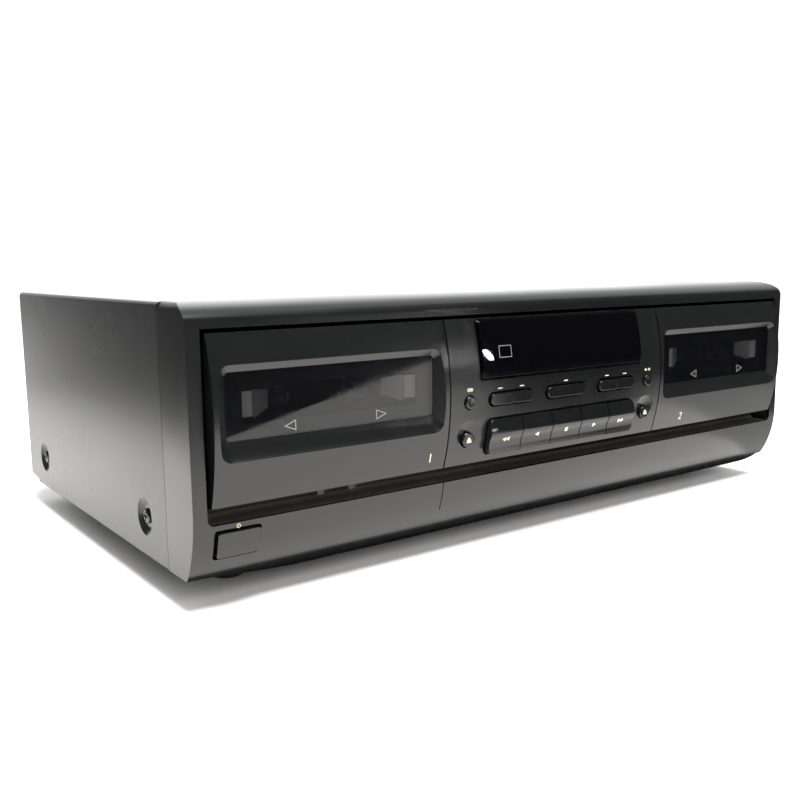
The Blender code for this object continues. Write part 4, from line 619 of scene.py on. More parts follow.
def make_cover():
    """The folded cover with its rear lip, cut corners and dimples."""
    half = cover_high.x
    rear = cover_high.y
    outer = slab(u_outline(half, cover_low.z, cover_high.z, BEND_R), "Y", cover_low.y, rear)
    inner = slab(u_outline(half - SHEET, cover_low.z - OVERRUN, cover_high.z - SHEET, BEND_R - SHEET),
                 "Y", cover_low.y - OVERRUN, rear - SHEET)
    rear_cut = box((SHEET - half, rear - SHEET - OVERRUN, cover_low.z - OVERRUN),
                   (half - SHEET, rear + OVERRUN, cover_high.z - SHEET - LIP_H))
    corner = slab([(rear - CORNER_CUT_L, cover_low.z - OVERRUN), (rear + OVERRUN, cover_low.z - OVERRUN),
                   (rear + OVERRUN, cover_low.z + CORNER_CUT_H), (rear, cover_low.z + CORNER_CUT_H),
                   (rear - CORNER_CUT_L, cover_low.z)], "X", -half - OVERRUN, half + OVERRUN)
    shape = combine(outer, [inner, rear_cut, corner])
    backs, fronts = [], []
    slope = (DIMPLE_R - DIMPLE_FLOOR_R) / DIMPLE_DEPTH
    deep = DIMPLE_DEPTH + SHEET
    back = [(0, -SHEET / 2), (DIMPLE_R + SHEET, -SHEET / 2), (DIMPLE_FLOOR_R + SHEET, -deep), (0, -deep)]
    front = [(0, OVERRUN), (DIMPLE_R + slope * OVERRUN, OVERRUN), (DIMPLE_FLOOR_R, -DIMPLE_DEPTH),
             (HOLE_R, -DIMPLE_DEPTH), (HOLE_R, -deep - OVERRUN), (0, -deep - OVERRUN)]
    for place in SCREW_PLACES:
        x, y, z = middle(f"cover_screw_{place}")
        side = -1 if x < 0 else 1
        backs.append(lathe(back, (side * half, y, z), (side, 0, 0)))
        fronts.append(lathe(front, (side * half, y, z), (side, 0, 0)))
    shape = combine(shape, backs, "UNION")
    shape = combine(shape, fronts)
    soften(shape, 0.35 * MM, 25, 3)
    return piece("cover_shell", shape, cover_paint, "case", ["top_cover"], 45)


make_cover()

# %% [markdown]
# ## Case screws
# A pan-head screw is a dome on a short shank, with a cross pressed into it. The dome is spun from an
# arc, and the cross is cut with two straight bars.

# %% Turn the screws
CROSS_W = 1.0 * MM
CROSS_L = 4.6 * MM
HEAD_ROUND = 0.9 * MM
HEAD_H = 1.5 * MM
SHANK_R = 1.8 * MM
HEAD_STEPS = 40


def dome(radius, rise, top=0.0):
    """A profile down a dome of some rise, from its top at a reach to its rim."""
    turns = [math.radians(turn) for turn in range(0, 91, 10)]
    return [(radius * math.sin(turn), top - rise * (1 - math.cos(turn))) for turn in turns]


def make_screw(place):
    """One case screw, with a domed head and a pressed cross."""
    low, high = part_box(f"cover_screw_{place}")
    x, y, z = middle(f"cover_screw_{place}")
    side = -1 if x < 0 else 1
    centre = Vector((low.x if side < 0 else high.x, y, z))
    head_r = (high.y - low.y) / 2
    length = high.x - low.x
    profile = dome(head_r, HEAD_ROUND)
    profile += [(head_r, -HEAD_H), (SHANK_R, -HEAD_H), (SHANK_R, -length), (0, -length)]
    head = lathe(profile, centre, (side, 0, 0), HEAD_STEPS)
    half_l, half_w = CROSS_L / 2, CROSS_W / 2
    reach = Vector((1.1 * MM, 0, 0))
    bars = [box(centre - reach - Vector((0, a, b)), centre + reach + Vector((0, a, b)))
            for a, b in ((half_l, half_w), (half_w, half_l))]
    shape = combine(head, bars)
    soften(shape, 0.12 * MM, 35, 2)
    return piece(f"screw_{place}", shape, screw_black, "case", [f"cover_screw_{place}"])


for place in SCREW_PLACES:
    make_screw(place)

# %% [markdown]
# ## Front panel
# The front panel is one deep moulding: a frame round the doors, a finger channel under them and a
# lower front that rolls back under the deck. Its side outline, with a generous round at the top, is
# pulled to the full width and trimmed to round corners. Then the hollow, the recess, the hole for
# the power button and a fine seam are cut, and the walls of the recess are added behind. The
# lip below rises towards both ends, so the deck seems to float.

# %% Cut the front panel
TOP_ROUND = 8.8 * MM
TOP_ROUND_DEPTH = 21.0 * MM
FRONT_CORNER_R = 5.0 * MM
WALL = 2.5 * MM
LIP_Z = 8.3 * MM
FLOOR_Z = 14.0 * MM
END_Z = 15.6 * MM
LIP_SLOPE = (146 * MM, 206 * MM)
LIP_SLOPE_RIGHT = (204 * MM, 211 * MM)
CHANNEL_DEPTH = 13.9 * MM
CHANNEL_BACK = 3.8 * MM
CHANNEL_R = 3.2 * MM
POWER_GAP = 1.1 * MM
POWER_HOLE_DEPTH = 20.0 * MM
SEAM_X = -80.6 * MM
SEAM_LOW = 26.0 * MM
SEAM_DEPTH = 0.6 * MM
SEAM_HALF = 0.25 * MM


def lower_points(low, high, inside=0.0, steps=ARC_STEPS):
    """Points up the rolled lower front, or up a line some way inside it."""
    points = []
    for at in range(steps + 1):
        height = low + (high - low) * at / steps
        points.append((lower_y(height, inside), height))
    return points


def make_front():
    """The whole front moulding."""
    half, back = front_high.x, front_high.y
    lip_back = lower_y(LIP_Z) + WALL
    outline = lower_points(LIP_Z, LOWER_TOP)
    top = arc((1.0, 0.0), 1.0, 180, 90, 40)
    outline += [(FACE_Y + a * TOP_ROUND_DEPTH, front_high.z - TOP_ROUND + b * TOP_ROUND) for a, b in top]
    outline += [(back, front_high.z), (back, FLOOR_Z), (lip_back, FLOOR_Z), (lip_back, LIP_Z)]
    shape = slab(outline, "X", -half, half)
    near, far = LIP_SLOPE
    near_right, far_right = LIP_SLOPE_RIGHT
    corner = (half - FRONT_CORNER_R, front_high.z - FRONT_CORNER_R)
    face = [(-near, LIP_Z), (near_right, LIP_Z), (far_right, END_Z), (half, END_Z)]
    face += arc(corner, FRONT_CORNER_R, 0, 90, FINE_CORNER_STEPS)
    face += arc((-corner[0], corner[1]), FRONT_CORNER_R, 90, 180, FINE_CORNER_STEPS)
    face += [(-half, END_Z), (-far, END_Z)]
    frame_line = rounded(-half, half, LIP_Z - OVERRUN, front_high.z, FRONT_CORNER_R, FINE_CORNER_STEPS)
    return combine(shape, [slab(line, "Y", FACE_Y - OVERRUN, back + OVERRUN) for line in (face, frame_line)],
                   "INTERSECT")


def front_cutters():
    """The hollow, the recess, the power hole and the seam."""
    back = front_high.y
    inner = lower_points(FLOOR_Z + WALL, LOWER_TOP, WALL)
    inner += [(FACE_Y + WALL, RECESS_TOP + 0.4 * MM), (FACE_Y + TOP_ROUND_DEPTH, front_high.z - WALL),
              (back + OVERRUN, front_high.z - WALL), (back + OVERRUN, FLOOR_Z + WALL)]
    inner_x = front_high.x - WALL
    recess = rounded(-RECESS_X, RECESS_X, CHANNEL_Z, RECESS_TOP + 10 * MM, CHANNEL_R)
    trimmed = [(a, min(b, RECESS_TOP)) for a, b in recess]
    low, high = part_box("power_button")
    hole = rounded(low.x - POWER_GAP, high.x + POWER_GAP, low.z - POWER_GAP, high.z + POWER_GAP, 1.8 * MM)
    seam = lower_points(SEAM_LOW, CHANNEL_Z + OVERRUN, SEAM_DEPTH)
    seam += [(FACE_Y - OVERRUN, CHANNEL_Z + OVERRUN), (FACE_Y - OVERRUN, SEAM_LOW)]
    return [slab(inner, "X", -inner_x, inner_x),
            slab(trimmed, "Y", FACE_Y - OVERRUN, FACE_Y + WALL + OVERRUN),
            slab(hole, "Y", FACE_Y - OVERRUN, FACE_Y + POWER_HOLE_DEPTH),
            slab(seam, "X", SEAM_X - SEAM_HALF, SEAM_X + SEAM_HALF)]


shape = combine(make_front(), front_cutters())
soften(shape, 0.4 * MM, 30, 3)
piece("front_moulding", shape, charcoal, "case", ["front_panel"])

# %% Line the recess and the finger channel
LINING = 1.6 * MM
start = FACE_Y + WALL * 0.6
well_back = FACE_Y + 20.5 * MM
well = [box((-RECESS_X - LINING, start, RECESS_TOP), (RECESS_X + LINING, well_back, RECESS_TOP + LINING))]
for side in (-1, 1):
    near, far = sorted((side * RECESS_X, side * (RECESS_X + LINING)))
    well.append(box((near, start, CHANNEL_Z - LINING), (far, well_back, RECESS_TOP)))
piece("recess_lining", join(well), black_plastic, "case")
channel_back = FACE_Y + CHANNEL_DEPTH
channel = [(start, CHANNEL_Z - LINING), (channel_back, CHANNEL_Z - LINING)]
channel += arc((channel_back - 2.0 * MM, CHANNEL_Z + 2.0 * MM), 2.0 * MM, 0, -90, 10)
channel += [(start, CHANNEL_Z)]
# The channel floor's lighter grey is painted light on a floor that the doors shade.
piece("channel_floor", slab(channel, "X", -RECESS_X, RECESS_X), channel_lit_grey, "case")
wall = [box((-RECESS_X, channel_back, CHANNEL_Z - LINING),
            (RECESS_X, channel_back + LINING, CHANNEL_Z + CHANNEL_BACK))]
piece("channel_wall", join(wall), black_plastic, "case")

# %% Door stops in the channel
STOP_W = 5.2 * MM
STOPS = (-152.2 * MM, -135.2 * MM)
stops = []
for x in STOPS:
    outline = [(x - STOP_W / 2, door_low.z + 1.5 * MM), (x - STOP_W * 0.3, door_low.z - 2.4 * MM),
               (x + STOP_W * 0.3, door_low.z - 2.4 * MM), (x + STOP_W / 2, door_low.z + 1.5 * MM)]
    stops.append(slab(outline, "Y", FACE_Y + 1.2 * MM, FACE_Y + 2.6 * MM))
piece("door_stops", join(stops), black_plastic, "door_1")

# %% [markdown]
# ## Tape doors
# Each door is a bulged slab with a sunk window. The window's recess has sloped walls on three sides
# and a hollow scoop below, where a finger would pull. The cutter for it is grown level by level: a
# rounded rectangle on the glass is extruded outwards, and each new level's points are set a little
# wider. The lens sits in a rebate behind, with a printed black mask behind it and pale cassette
# springs further in.

# %% Model the doors
RIM_SIDE = 3.8 * MM
RIM_TOP = 11.8 * MM
RIM_BOTTOM = 19.5 * MM
GLASS_SIDE = 3.3 * MM
GLASS_TOP = 4.8 * MM
GLASS_BOTTOM = 8.5 * MM
GLASS_SINK = 4.5 * MM
GLASS_CORNER_R = 2.2 * MM
RIM_CORNER_R = 4.8 * MM
SCOOP_SHARE = 0.55
LEVELS = 10
GLASS_Y = FACE_Y - BULGE + GLASS_SINK


def door_glass(number):
    """The glass opening of a door: left, right, low and high."""
    low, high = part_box(f"door_{number}_panel")
    return (low.x + RIM_SIDE + GLASS_SIDE, high.x - RIM_SIDE - GLASS_SIDE,
            low.z + RIM_BOTTOM + GLASS_BOTTOM, high.z - RIM_TOP - GLASS_TOP)


def recess_level(number, share, y):
    """The recess's outline where a share of the way from the glass to the rim is behind."""
    left, right, low, high = door_glass(number)
    scoop = (1 - SCOOP_SHARE) * share + SCOOP_SHARE * math.sqrt(max(0.0, 1 - (1 - min(share, 1)) ** 2))
    if share > 1:
        scoop = 1 + (share - 1) * (1 - SCOOP_SHARE)
    radius = GLASS_CORNER_R + (RIM_CORNER_R - GLASS_CORNER_R) * share
    outline = rounded(left - GLASS_SIDE * share, right + GLASS_SIDE * share,
                      low - GLASS_BOTTOM * scoop, high + GLASS_TOP * share, radius)
    return [(a, y, b) for a, b in outline]


def recess_cutter(number):
    """A solid that fills the window's recess, from behind the glass to in front of the door."""
    rim_y = bulge_y(door_low.z + RIM_BOTTOM)
    shape = bmesh.new()
    start = [shape.verts.new(point) for point in recess_level(number, 0, GLASS_Y + 0.5 * MM)]
    shape.faces.new(start)
    ring = [shape.edges.get((start[at - 1], start[at])) for at in range(len(start))]
    shares = [at / LEVELS for at in range(LEVELS + 1)] + [2.4]
    for share in shares:
        made = bmesh.ops.extrude_edge_only(shape, edges=ring)["geom"]
        ring = [item for item in made if isinstance(item, bmesh.types.BMEdge)]
        fresh = moved_verts(made)
        points = recess_level(number, share, GLASS_Y - (GLASS_Y - rim_y) * share)
        for vert, point in zip(fresh, points):
            vert.co = point
    bmesh.ops.contextual_create(shape, geom=ring)
    bmesh.ops.recalc_face_normals(shape, faces=shape.faces)
    return shape


def make_door(number):
    """A door's front and lens."""
    body = f"door_{number}"
    low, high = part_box(f"door_{number}_panel")
    lens_low, lens_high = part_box(f"door_{number}_window")
    slope = bulged_block(low, high)
    gap = 0.25 * MM
    rebate = box((lens_low.x - gap, GLASS_Y + 0.05 * MM, lens_low.z - gap),
                 (lens_high.x + gap, high.y + OVERRUN, lens_high.z + gap))
    shape = combine(slope, [recess_cutter(number), rebate])
    soften(shape, 0.4 * MM, 32, 3)
    piece(f"door_{number}_front", shape, door_plastic, body, [f"door_{number}_panel"])
    lens = box(lens_low, lens_high)
    soften(lens, 0.25 * MM, 30, 2)
    piece(f"door_{number}_lens", lens, smoked, body, [f"door_{number}_window"])


for number in (1, 2):
    make_door(number)

# %% Mask and springs behind the lens
CLEAR_SIDE = 9.0 * MM
CLEAR_LOW = 6.5 * MM
CLEAR_TOP = 7.6 * MM
MASK_T = 0.3 * MM


def make_mask(number):
    """The black print behind a lens, with the clear rectangle left open."""
    left, right, low, high = door_glass(number)
    lens_low, lens_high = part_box(f"door_{number}_window")
    y = lens_high.y + 0.05 * MM
    sheet = box((lens_low.x, y, lens_low.z), (lens_high.x, y + MASK_T, lens_high.z))
    hole = slab(rounded(left + CLEAR_SIDE, right - CLEAR_SIDE, low + CLEAR_LOW, high - CLEAR_TOP, 0.8 * MM),
                "Y", y - OVERRUN, y + OVERRUN)
    return piece(f"door_{number}_mask", combine(sheet, [hole]), mask_black, f"door_{number}")


for number in (1, 2):
    make_mask(number)

# %% Bend the cassette springs
ROLL_MIDDLE = 44.3 * MM
ROLL_HALF = 4.1 * MM
ROLL_Y = -127.4 * MM
ROLL_SQUASH = 0.45
ROLL_LOW, ROLL_HIGH = 86.0 * MM, 97.0 * MM
LEAF_NEAR = (40.2 * MM, -128.0 * MM, 84.6 * MM, 97.6 * MM)
LEAF_DEEP = (30.5 * MM, -123.4 * MM, 88.2 * MM, 96.2 * MM)
LEAF_T = 0.5 * MM


def make_springs(number):
    """A leaf spring at each side of a window: a slanting leaf and a rolled end."""
    door_x = middle(f"door_{number}_panel")[0]
    made = []
    for side in (-1, 1):
        roll = arc((door_x + side * ROLL_MIDDLE, ROLL_Y), ROLL_HALF, 200, 340, 16)
        roll = [(a, ROLL_Y + (b - ROLL_Y) * ROLL_SQUASH) for a, b in roll]
        made.append(slab(roll, "Z", ROLL_LOW, ROLL_HIGH))
        near_x, near_y, near_low, near_high = LEAF_NEAR
        deep_x, deep_y, deep_low, deep_high = LEAF_DEEP
        near, deep = door_x + side * near_x, door_x + side * deep_x
        corners = [(near, near_y, near_low), (deep, deep_y, deep_low), (deep, deep_y, deep_high),
                   (near, near_y, near_high)]
        leaf = bmesh.new()
        face = leaf.faces.new([leaf.verts.new(corner) for corner in corners])
        bmesh.ops.solidify(leaf, geom=[face], thickness=LEAF_T)
        bmesh.ops.recalc_face_normals(leaf, faces=leaf.faces)
        made.append(leaf)
    return piece(f"springs_{number}", join(made), pale_plastic, f"door_{number}")


for number in (1, 2):
    make_springs(number)

# %% [markdown]
# ## Centre panel
# The panel between the doors carries the display and all the tape controls. It is the same bulged
# slab, hollow behind, with slots for the pill keys, one long opening for the five tape keys, and a
# round dish around each door button. The slots are cut a little wider than the CAD's, so that a dark
# gap shows round each key, as it does on the real one.

# %% Cut the centre panel
PANEL_WALL = 2.4 * MM
LENS_INSET = 4.5 * MM
ROUND_KEY_STEPS = 48
KEY_GAP = 0.75 * MM
BAR_CORNER_R = 3.0 * MM
TAPE_KEYS = ("rewind_key", "reverse_play_key", "stop_key", "play_key", "fast_forward_key")
PILLS = (("synchro_start_key", "tape_speed_key"), ("deck_select_key",),
         ("noise_reduction_key", "reverse_mode_key"))
ROUND_KEYS = ("counter_reset_button", "record_pause_button", "open_button_1", "open_button_2")
DISH_R = 6.4 * MM
DISH_DEPTH = 1.0 * MM
ROUND_GAP = 0.45 * MM
ROUND_PROUD = 1.5 * MM


def span(nodes):
    """The box round several nodes."""
    boxes = [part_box(node) for node in nodes]
    low = Vector([min(item[0][axis] for item in boxes) for axis in range(3)])
    high = Vector([max(item[1][axis] for item in boxes) for axis in range(3)])
    return low, high


def pill_outline(nodes, grow):
    """The pill that a key, or a pair of half keys, makes."""
    low, high = span(nodes)
    radius = (high.z - low.z) / 2 + grow
    return rounded(low.x - grow, high.x + grow, low.z - grow, high.z + grow, radius * 0.995, 14)


def round_place(node):
    """A round key's middle and radius."""
    low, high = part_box(node)
    x, _, z = middle(node)
    return x, z, (high.x - low.x) / 2


def cap_front(node):
    """Where a round key's face lies: a little proud of the panel."""
    z = round_place(node)[1]
    return max(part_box(node)[0].y, bulge_y(z) - ROUND_PROUD)


def make_centre_panel():
    """The bulged panel with all its openings."""
    low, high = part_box("centre_panel")
    shape = bulged_block(low, high)
    inner = bulge_line(low.z + PANEL_WALL, high.z - PANEL_WALL, -PANEL_WALL)
    inner += [(high.y + OVERRUN, high.z - PANEL_WALL), (high.y + OVERRUN, low.z + PANEL_WALL)]
    front = FACE_Y - 4 * OVERRUN
    tools = [slab(inner, "X", low.x + PANEL_WALL, high.x - PANEL_WALL)]
    lens_low, lens_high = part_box("display_window")
    tools.append(box((lens_low.x + LENS_INSET, front, lens_low.z + LENS_INSET),
                     (lens_high.x - LENS_INSET, high.y, lens_high.z - LENS_INSET)))
    for nodes in PILLS:
        tools.append(slab(pill_outline(nodes, KEY_GAP), "Y", front, high.y))
    key_low, key_high = span(TAPE_KEYS)
    tools.append(slab(rounded(key_low.x - KEY_GAP, key_high.x + KEY_GAP, key_low.z - KEY_GAP,
                              key_high.z + KEY_GAP, BAR_CORNER_R + KEY_GAP), "Y", front, high.y))
    for node in ROUND_KEYS:
        x, z, radius = round_place(node)
        hole_r = radius + ROUND_GAP
        hole = [(0, 20 * MM), (hole_r, 20 * MM), (hole_r, -20 * MM), (0, -20 * MM)]
        tools.append(lathe(hole, (x, FACE_Y, z), (0, -1, 0), ROUND_KEY_STEPS))
        if node.startswith("open"):
            ball = (DISH_R ** 2 + DISH_DEPTH ** 2) / (2 * DISH_DEPTH)
            bowl = [(ball * math.sin(math.radians(turn)), ball * (1 - math.cos(math.radians(turn))))
                    for turn in range(0, 41, 4)]
            bowl.append((0, bowl[-1][1]))
            tools.append(lathe(bowl, (x, bulge_y(z) + DISH_DEPTH, z), (0, -1, 0), ROUND_KEY_STEPS))
    shape = combine(shape, tools)
    soften(shape, 0.3 * MM, 34, 2)
    return piece("centre_moulding", shape, panel_plastic, "case", ["centre_panel"])


make_centre_panel()

# %% [markdown]
# ## Display
# The display hides behind a thick gloss lens that follows the panel's bulge. It stands in a black
# frame: a low skirt shows a fine line of light below the lens, and the lens's own soft edge shows a
# second one. Each layer is a slice of the bulge, cut to a rounded outline.

# %% Shape the display lens
# Each layer: how far out, side, top and bottom insets, corner radius and soft edge, in mm.
LENS_LAYERS = ((0.3, 0.0, 0.0, 0.0, 1.2, 0.15), (1.3, 0.6, 0.4, 1.7, 1.8, 0.3),
               (2.2, 1.0, 0.7, 3.1, 2.2, 0.55))
LENS_SEAT = 0.3 * MM


def bulged_plate(low, high, out, radius, edge):
    """A plate on the bulge with a rounded outline and a soft front edge."""
    outline = bulge_line(low.z - OVERRUN, high.z + OVERRUN, out)
    outline += list(reversed(bulge_line(low.z - OVERRUN, high.z + OVERRUN, -LENS_SEAT)))
    plate = slab(outline, "X", low.x - OVERRUN, high.x + OVERRUN)
    frame_shape = slab(rounded(low.x, high.x, low.z, high.z, radius, 10), "Y", FACE_Y - 5 * OVERRUN,
                       FACE_Y + 5 * OVERRUN)
    plate = combine(plate, [frame_shape], "INTERSECT")
    return soften(plate, edge, 35, 4,
                  pick=lambda rim: all(vert.co.y < bulge_y(vert.co.z) for vert in rim.verts))


def make_display():
    """The frame, skirt and lens of the display."""
    low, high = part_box("display_window")
    layers = []
    for out, side, top, bottom, radius, edge in LENS_LAYERS:
        near = Vector((low.x + side * MM, low.y, low.z + bottom * MM))
        far = Vector((high.x - side * MM, high.y, high.z - top * MM))
        layers.append(bulged_plate(near, far, out * MM, radius * MM, edge * MM))
    return piece("display_lens", join(layers), gloss_black, "case", ["display_window"], 30)


make_display()

# %% [markdown]
# ## Keys
# The five tape keys share one wave: a shelf that swells out and then tucks under, so that a finger
# finds them in the dark. A curve through a few given points gives the wave, and each key is a slice
# of it with soft edges. The pill keys are low domes, and one pill is split into two half keys. The
# round keys are spun.

# %% Shape the tape keys
KEY_WAVE = ((1.0, 6.55), (0.90, 6.95), (0.76, 7.85), (0.62, 8.3), (0.50, 7.75), (0.38, 6.6), (0.22, 5.95),
            (0.10, 5.75), (0.0, 5.6))
WAVE_STEPS = 5
KEY_BACK = FACE_Y + 3.5 * MM
KEY_TRIM = 0.08 * MM
STEM = 1.8 * MM


def smooth_curve(points, steps):
    """A curve through points, with a few steps between each pair."""
    padded = [points[0], *points, points[-1]]
    line = []
    for at in range(1, len(padded) - 2):
        before, start, end, after = (Vector(point) for point in padded[at - 1:at + 3])
        for step in range(steps):
            t = step / steps
            bend = (2 * before - 5 * start + 4 * end - after) * t ** 2
            line.append(0.5 * (2 * start + (end - before) * t + bend
                               + (3 * start - before - 3 * end + after) * t ** 3))
    line.append(Vector(points[-1]))
    return line


wave = smooth_curve(KEY_WAVE, WAVE_STEPS)
tape_low, tape_high = span(TAPE_KEYS)


def key_y(height):
    """Where the tape keys' face lies at a height."""
    share = (height - tape_low.z) / (tape_high.z - tape_low.z)
    for (high_share, high_out), (low_share, low_out) in zip(wave, wave[1:]):
        if low_share <= share <= high_share:
            mix = (share - low_share) / (high_share - low_share)
            return FACE_Y - (low_out + (high_out - low_out) * mix) * MM
    return FACE_Y - KEY_WAVE[0][1] * MM


def key_cap(node, shape, stem_from=None, crease=40.0):
    """Finish a key's cap, with a stem behind it that reaches its switch."""
    if stem_from is not None:
        x, _, z = middle(node)
        shape = join([shape, box((x - STEM, stem_from, z - STEM), (x + STEM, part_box(node)[1].y, z + STEM))])
    return piece(f"{node}_cap", shape, key_plastic, node, [node], crease)


def make_tape_key(node):
    """One tape key."""
    low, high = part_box(node)
    rise = high.z - low.z
    outline = [(FACE_Y - out * MM, low.z + rise * share) for share, out in wave]
    outline += [(KEY_BACK, low.z), (KEY_BACK, high.z)]
    shape = slab(outline, "X", low.x + KEY_TRIM, high.x - KEY_TRIM)
    bar = slab(rounded(tape_low.x + KEY_TRIM, tape_high.x - KEY_TRIM, tape_low.z, tape_high.z, BAR_CORNER_R),
               "Y", low.y - OVERRUN, high.y)
    shape = combine(shape, [bar], "INTERSECT")
    return key_cap(node, soften(shape, 0.35 * MM, 38, 3), KEY_BACK - MM)


for node in TAPE_KEYS:
    make_tape_key(node)

# %% Shape the pill keys
PILL_SHRINK = 0.2 * MM
PILL_RISE = 0.1 * MM
PILL_SPLIT = 0.05 * MM


def make_pill_key(node, nodes):
    """A pill key, or its half: a slice of the whole pill with a low dome."""
    low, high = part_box(node)
    pill = slab(pill_outline(nodes, -PILL_SHRINK), "Y", low.y + PILL_RISE, FACE_Y + 3.0 * MM)
    left = low.x - OVERRUN if node == nodes[0] else low.x - PILL_SPLIT
    right = high.x + OVERRUN if node == nodes[-1] else high.x + PILL_SPLIT
    keep = box((left, low.y - OVERRUN, low.z - OVERRUN), (right, KEY_BACK, high.z + OVERRUN))
    shape = combine(pill, [keep], "INTERSECT")
    front = low.y + PILL_RISE + 0.01 * MM
    soften(shape, 0.45 * MM, 30, 4, pick=lambda edge: all(vert.co.y < front for vert in edge.verts))
    return key_cap(node, shape, FACE_Y)


for nodes in PILLS:
    for node in nodes:
        make_pill_key(node, nodes)

# %% Turn the round keys
ROUND_EDGE = 0.8 * MM
OPEN_HOLLOW = 0.1 * MM
SMALL_HOLLOW = 0.25 * MM


def make_round_key(node, hollow):
    """A round key with a soft edge and a slightly hollow face."""
    x, z, radius = round_place(node)
    rim = radius - 0.05 * MM
    face = [(rim * 0.25 * at, -hollow * math.cos(math.pi / 2 * at / 3)) for at in range(3)]
    edge = arc((rim - ROUND_EDGE, -ROUND_EDGE), ROUND_EDGE, 90, 0, 6)
    front = cap_front(node)
    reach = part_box(node)[1].y - front
    skirt = -reach + 3 * MM
    profile = face + edge + [(rim, skirt), (STEM, skirt), (STEM, -reach), (0, -reach)]
    return key_cap(node, lathe(profile, (x, front, z), (0, -1, 0), ROUND_KEY_STEPS), crease=50)


for node in ROUND_KEYS:
    make_round_key(node, OPEN_HOLLOW if node.startswith("open") else SMALL_HOLLOW)

# %% Shape the power button
POWER_PROUD = 1.9 * MM
low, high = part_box("power_button")
outline = [(y - POWER_PROUD, z) for y, z in lower_points(low.z, high.z, steps=12)]
shape = slab(outline + [(high.y, high.z), (high.y, low.z)], "X", low.x, high.x)
corners = slab(rounded(low.x, high.x, low.z, high.z, 1.2 * MM), "Y", low.y - OVERRUN, high.y + OVERRUN)
shape = combine(shape, [corners], "INTERSECT")
key_cap("power_button", soften(shape, 0.5 * MM, 35, 3))

# %% [markdown]
# ## Printed marks
# The deck's words aren't copied. What stays are the signs that any deck has: arrows for the tape
# keys, a square for stop, an arrow on a bar for the door buttons, the numbers 1 and 2, and the ring
# and stroke of a power button. A mark is a thin flat shape that is cut into bands and laid on the
# surface below it, then given the thickness of ink.

# %% Draw marks
INK_T = 0.06 * MM
INK_LIFT = 0.03 * MM
BAND = 0.8 * MM


def flat_faces(outlines):
    """Flat faces in the XZ plane, one for each outline."""
    shape = bmesh.new()
    for outline in outlines:
        shape.faces.new([shape.verts.new((a, 0, b)) for a, b in outline])
    return shape


def lay(shape, surface):
    """Cut a flat mark into bands, lay it on a surface and give it thickness."""
    heights = [vert.co.z for vert in shape.verts]
    low, high = min(heights), max(heights)
    count = int((high - low) / BAND)
    for at in range(1, count + 1):
        height = low + (high - low) * at / (count + 1)
        bmesh.ops.bisect_plane(shape, geom=shape.verts[:] + shape.edges[:] + shape.faces[:],
                               plane_co=(0, 0, height), plane_no=(0, 0, 1), dist=0.0001 * MM)
    for vert in shape.verts:
        vert.co.y = surface(vert.co.z) - INK_LIFT
    made = bmesh.ops.extrude_face_region(shape, geom=shape.faces[:])["geom"]
    bmesh.ops.translate(shape, vec=(0, -INK_T, 0), verts=moved_verts(made))
    bmesh.ops.recalc_face_normals(shape, faces=shape.faces)
    return shape


def mark(name, shape, surface, body="case", colour=ink_cream):
    """Lay a mark on a surface and print it in an ink."""
    piece(name, lay(shape, surface), colour, body)


def triangle(x, z, width, height, way=1):
    """A triangle that points right, or left where way is -1."""
    tail, tip = x - way * width / 2, x + way * width / 2
    return [(tail, z - height / 2), (tip, z), (tail, z + height / 2)]


def hollow(outline, width):
    """An outline drawn as a line of even width: its face is inset, and the inner face goes."""
    shape = flat_faces([outline])
    shape.normal_update()
    inner = shape.faces[:]
    bmesh.ops.inset_region(shape, faces=inner, thickness=width, use_boundary=True, use_even_offset=True)
    bmesh.ops.delete(shape, geom=inner, context="FACES_ONLY")
    return shape


def numeral(text, x, z, height):
    """A number's flat shape, from Blender's own font."""
    letters = bpy.data.curves.new("numeral", "FONT")
    letters.body = text
    letters.size = height / 0.7
    letters.align_x = "CENTER"
    drawn = bpy.data.objects.new("numeral", letters)
    bpy.context.scene.collection.objects.link(drawn)
    shape = evaluated_shape(drawn)
    bpy.data.objects.remove(drawn)
    bpy.data.curves.remove(letters)
    bmesh.ops.remove_doubles(shape, verts=shape.verts, dist=0.001 * MM)
    bmesh.ops.rotate(shape, cent=(0, 0, 0), matrix=Matrix.Rotation(math.pi / 2, 3, "X"), verts=shape.verts)
    bmesh.ops.translate(shape, vec=(x, 0, z - height / 2), verts=shape.verts)
    return shape


# %% Marks on the tape keys
SIGN_H = 2.5 * MM
SIGN_W = 2.9 * MM
SIGN_RISE = 7.3 * MM
PAIR_SHIFT = SIGN_W * 0.42
PAIR_W = SIGN_W * 0.85
STOP_HALF = SIGN_H * 0.45
SIGNS = {
    "rewind_key": ((-PAIR_SHIFT, PAIR_W, -1), (PAIR_SHIFT, PAIR_W, -1)),
    "reverse_play_key": ((0, SIGN_W, -1),),
    "play_key": ((0, SIGN_W, 1),),
    "fast_forward_key": ((-PAIR_SHIFT, PAIR_W, 1), (PAIR_SHIFT, PAIR_W, 1)),
}
for node in TAPE_KEYS:
    x, z = middle(node)[0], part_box(node)[0].z + SIGN_RISE
    signs = [triangle(x + shift, z, width, SIGN_H, way) for shift, width, way in SIGNS.get(node, ())]
    stop = [rect(x - STOP_HALF, x + STOP_HALF, z - STOP_HALF, z + STOP_HALF)]
    mark(f"{node}_sign", flat_faces(signs or stop), key_y, node)

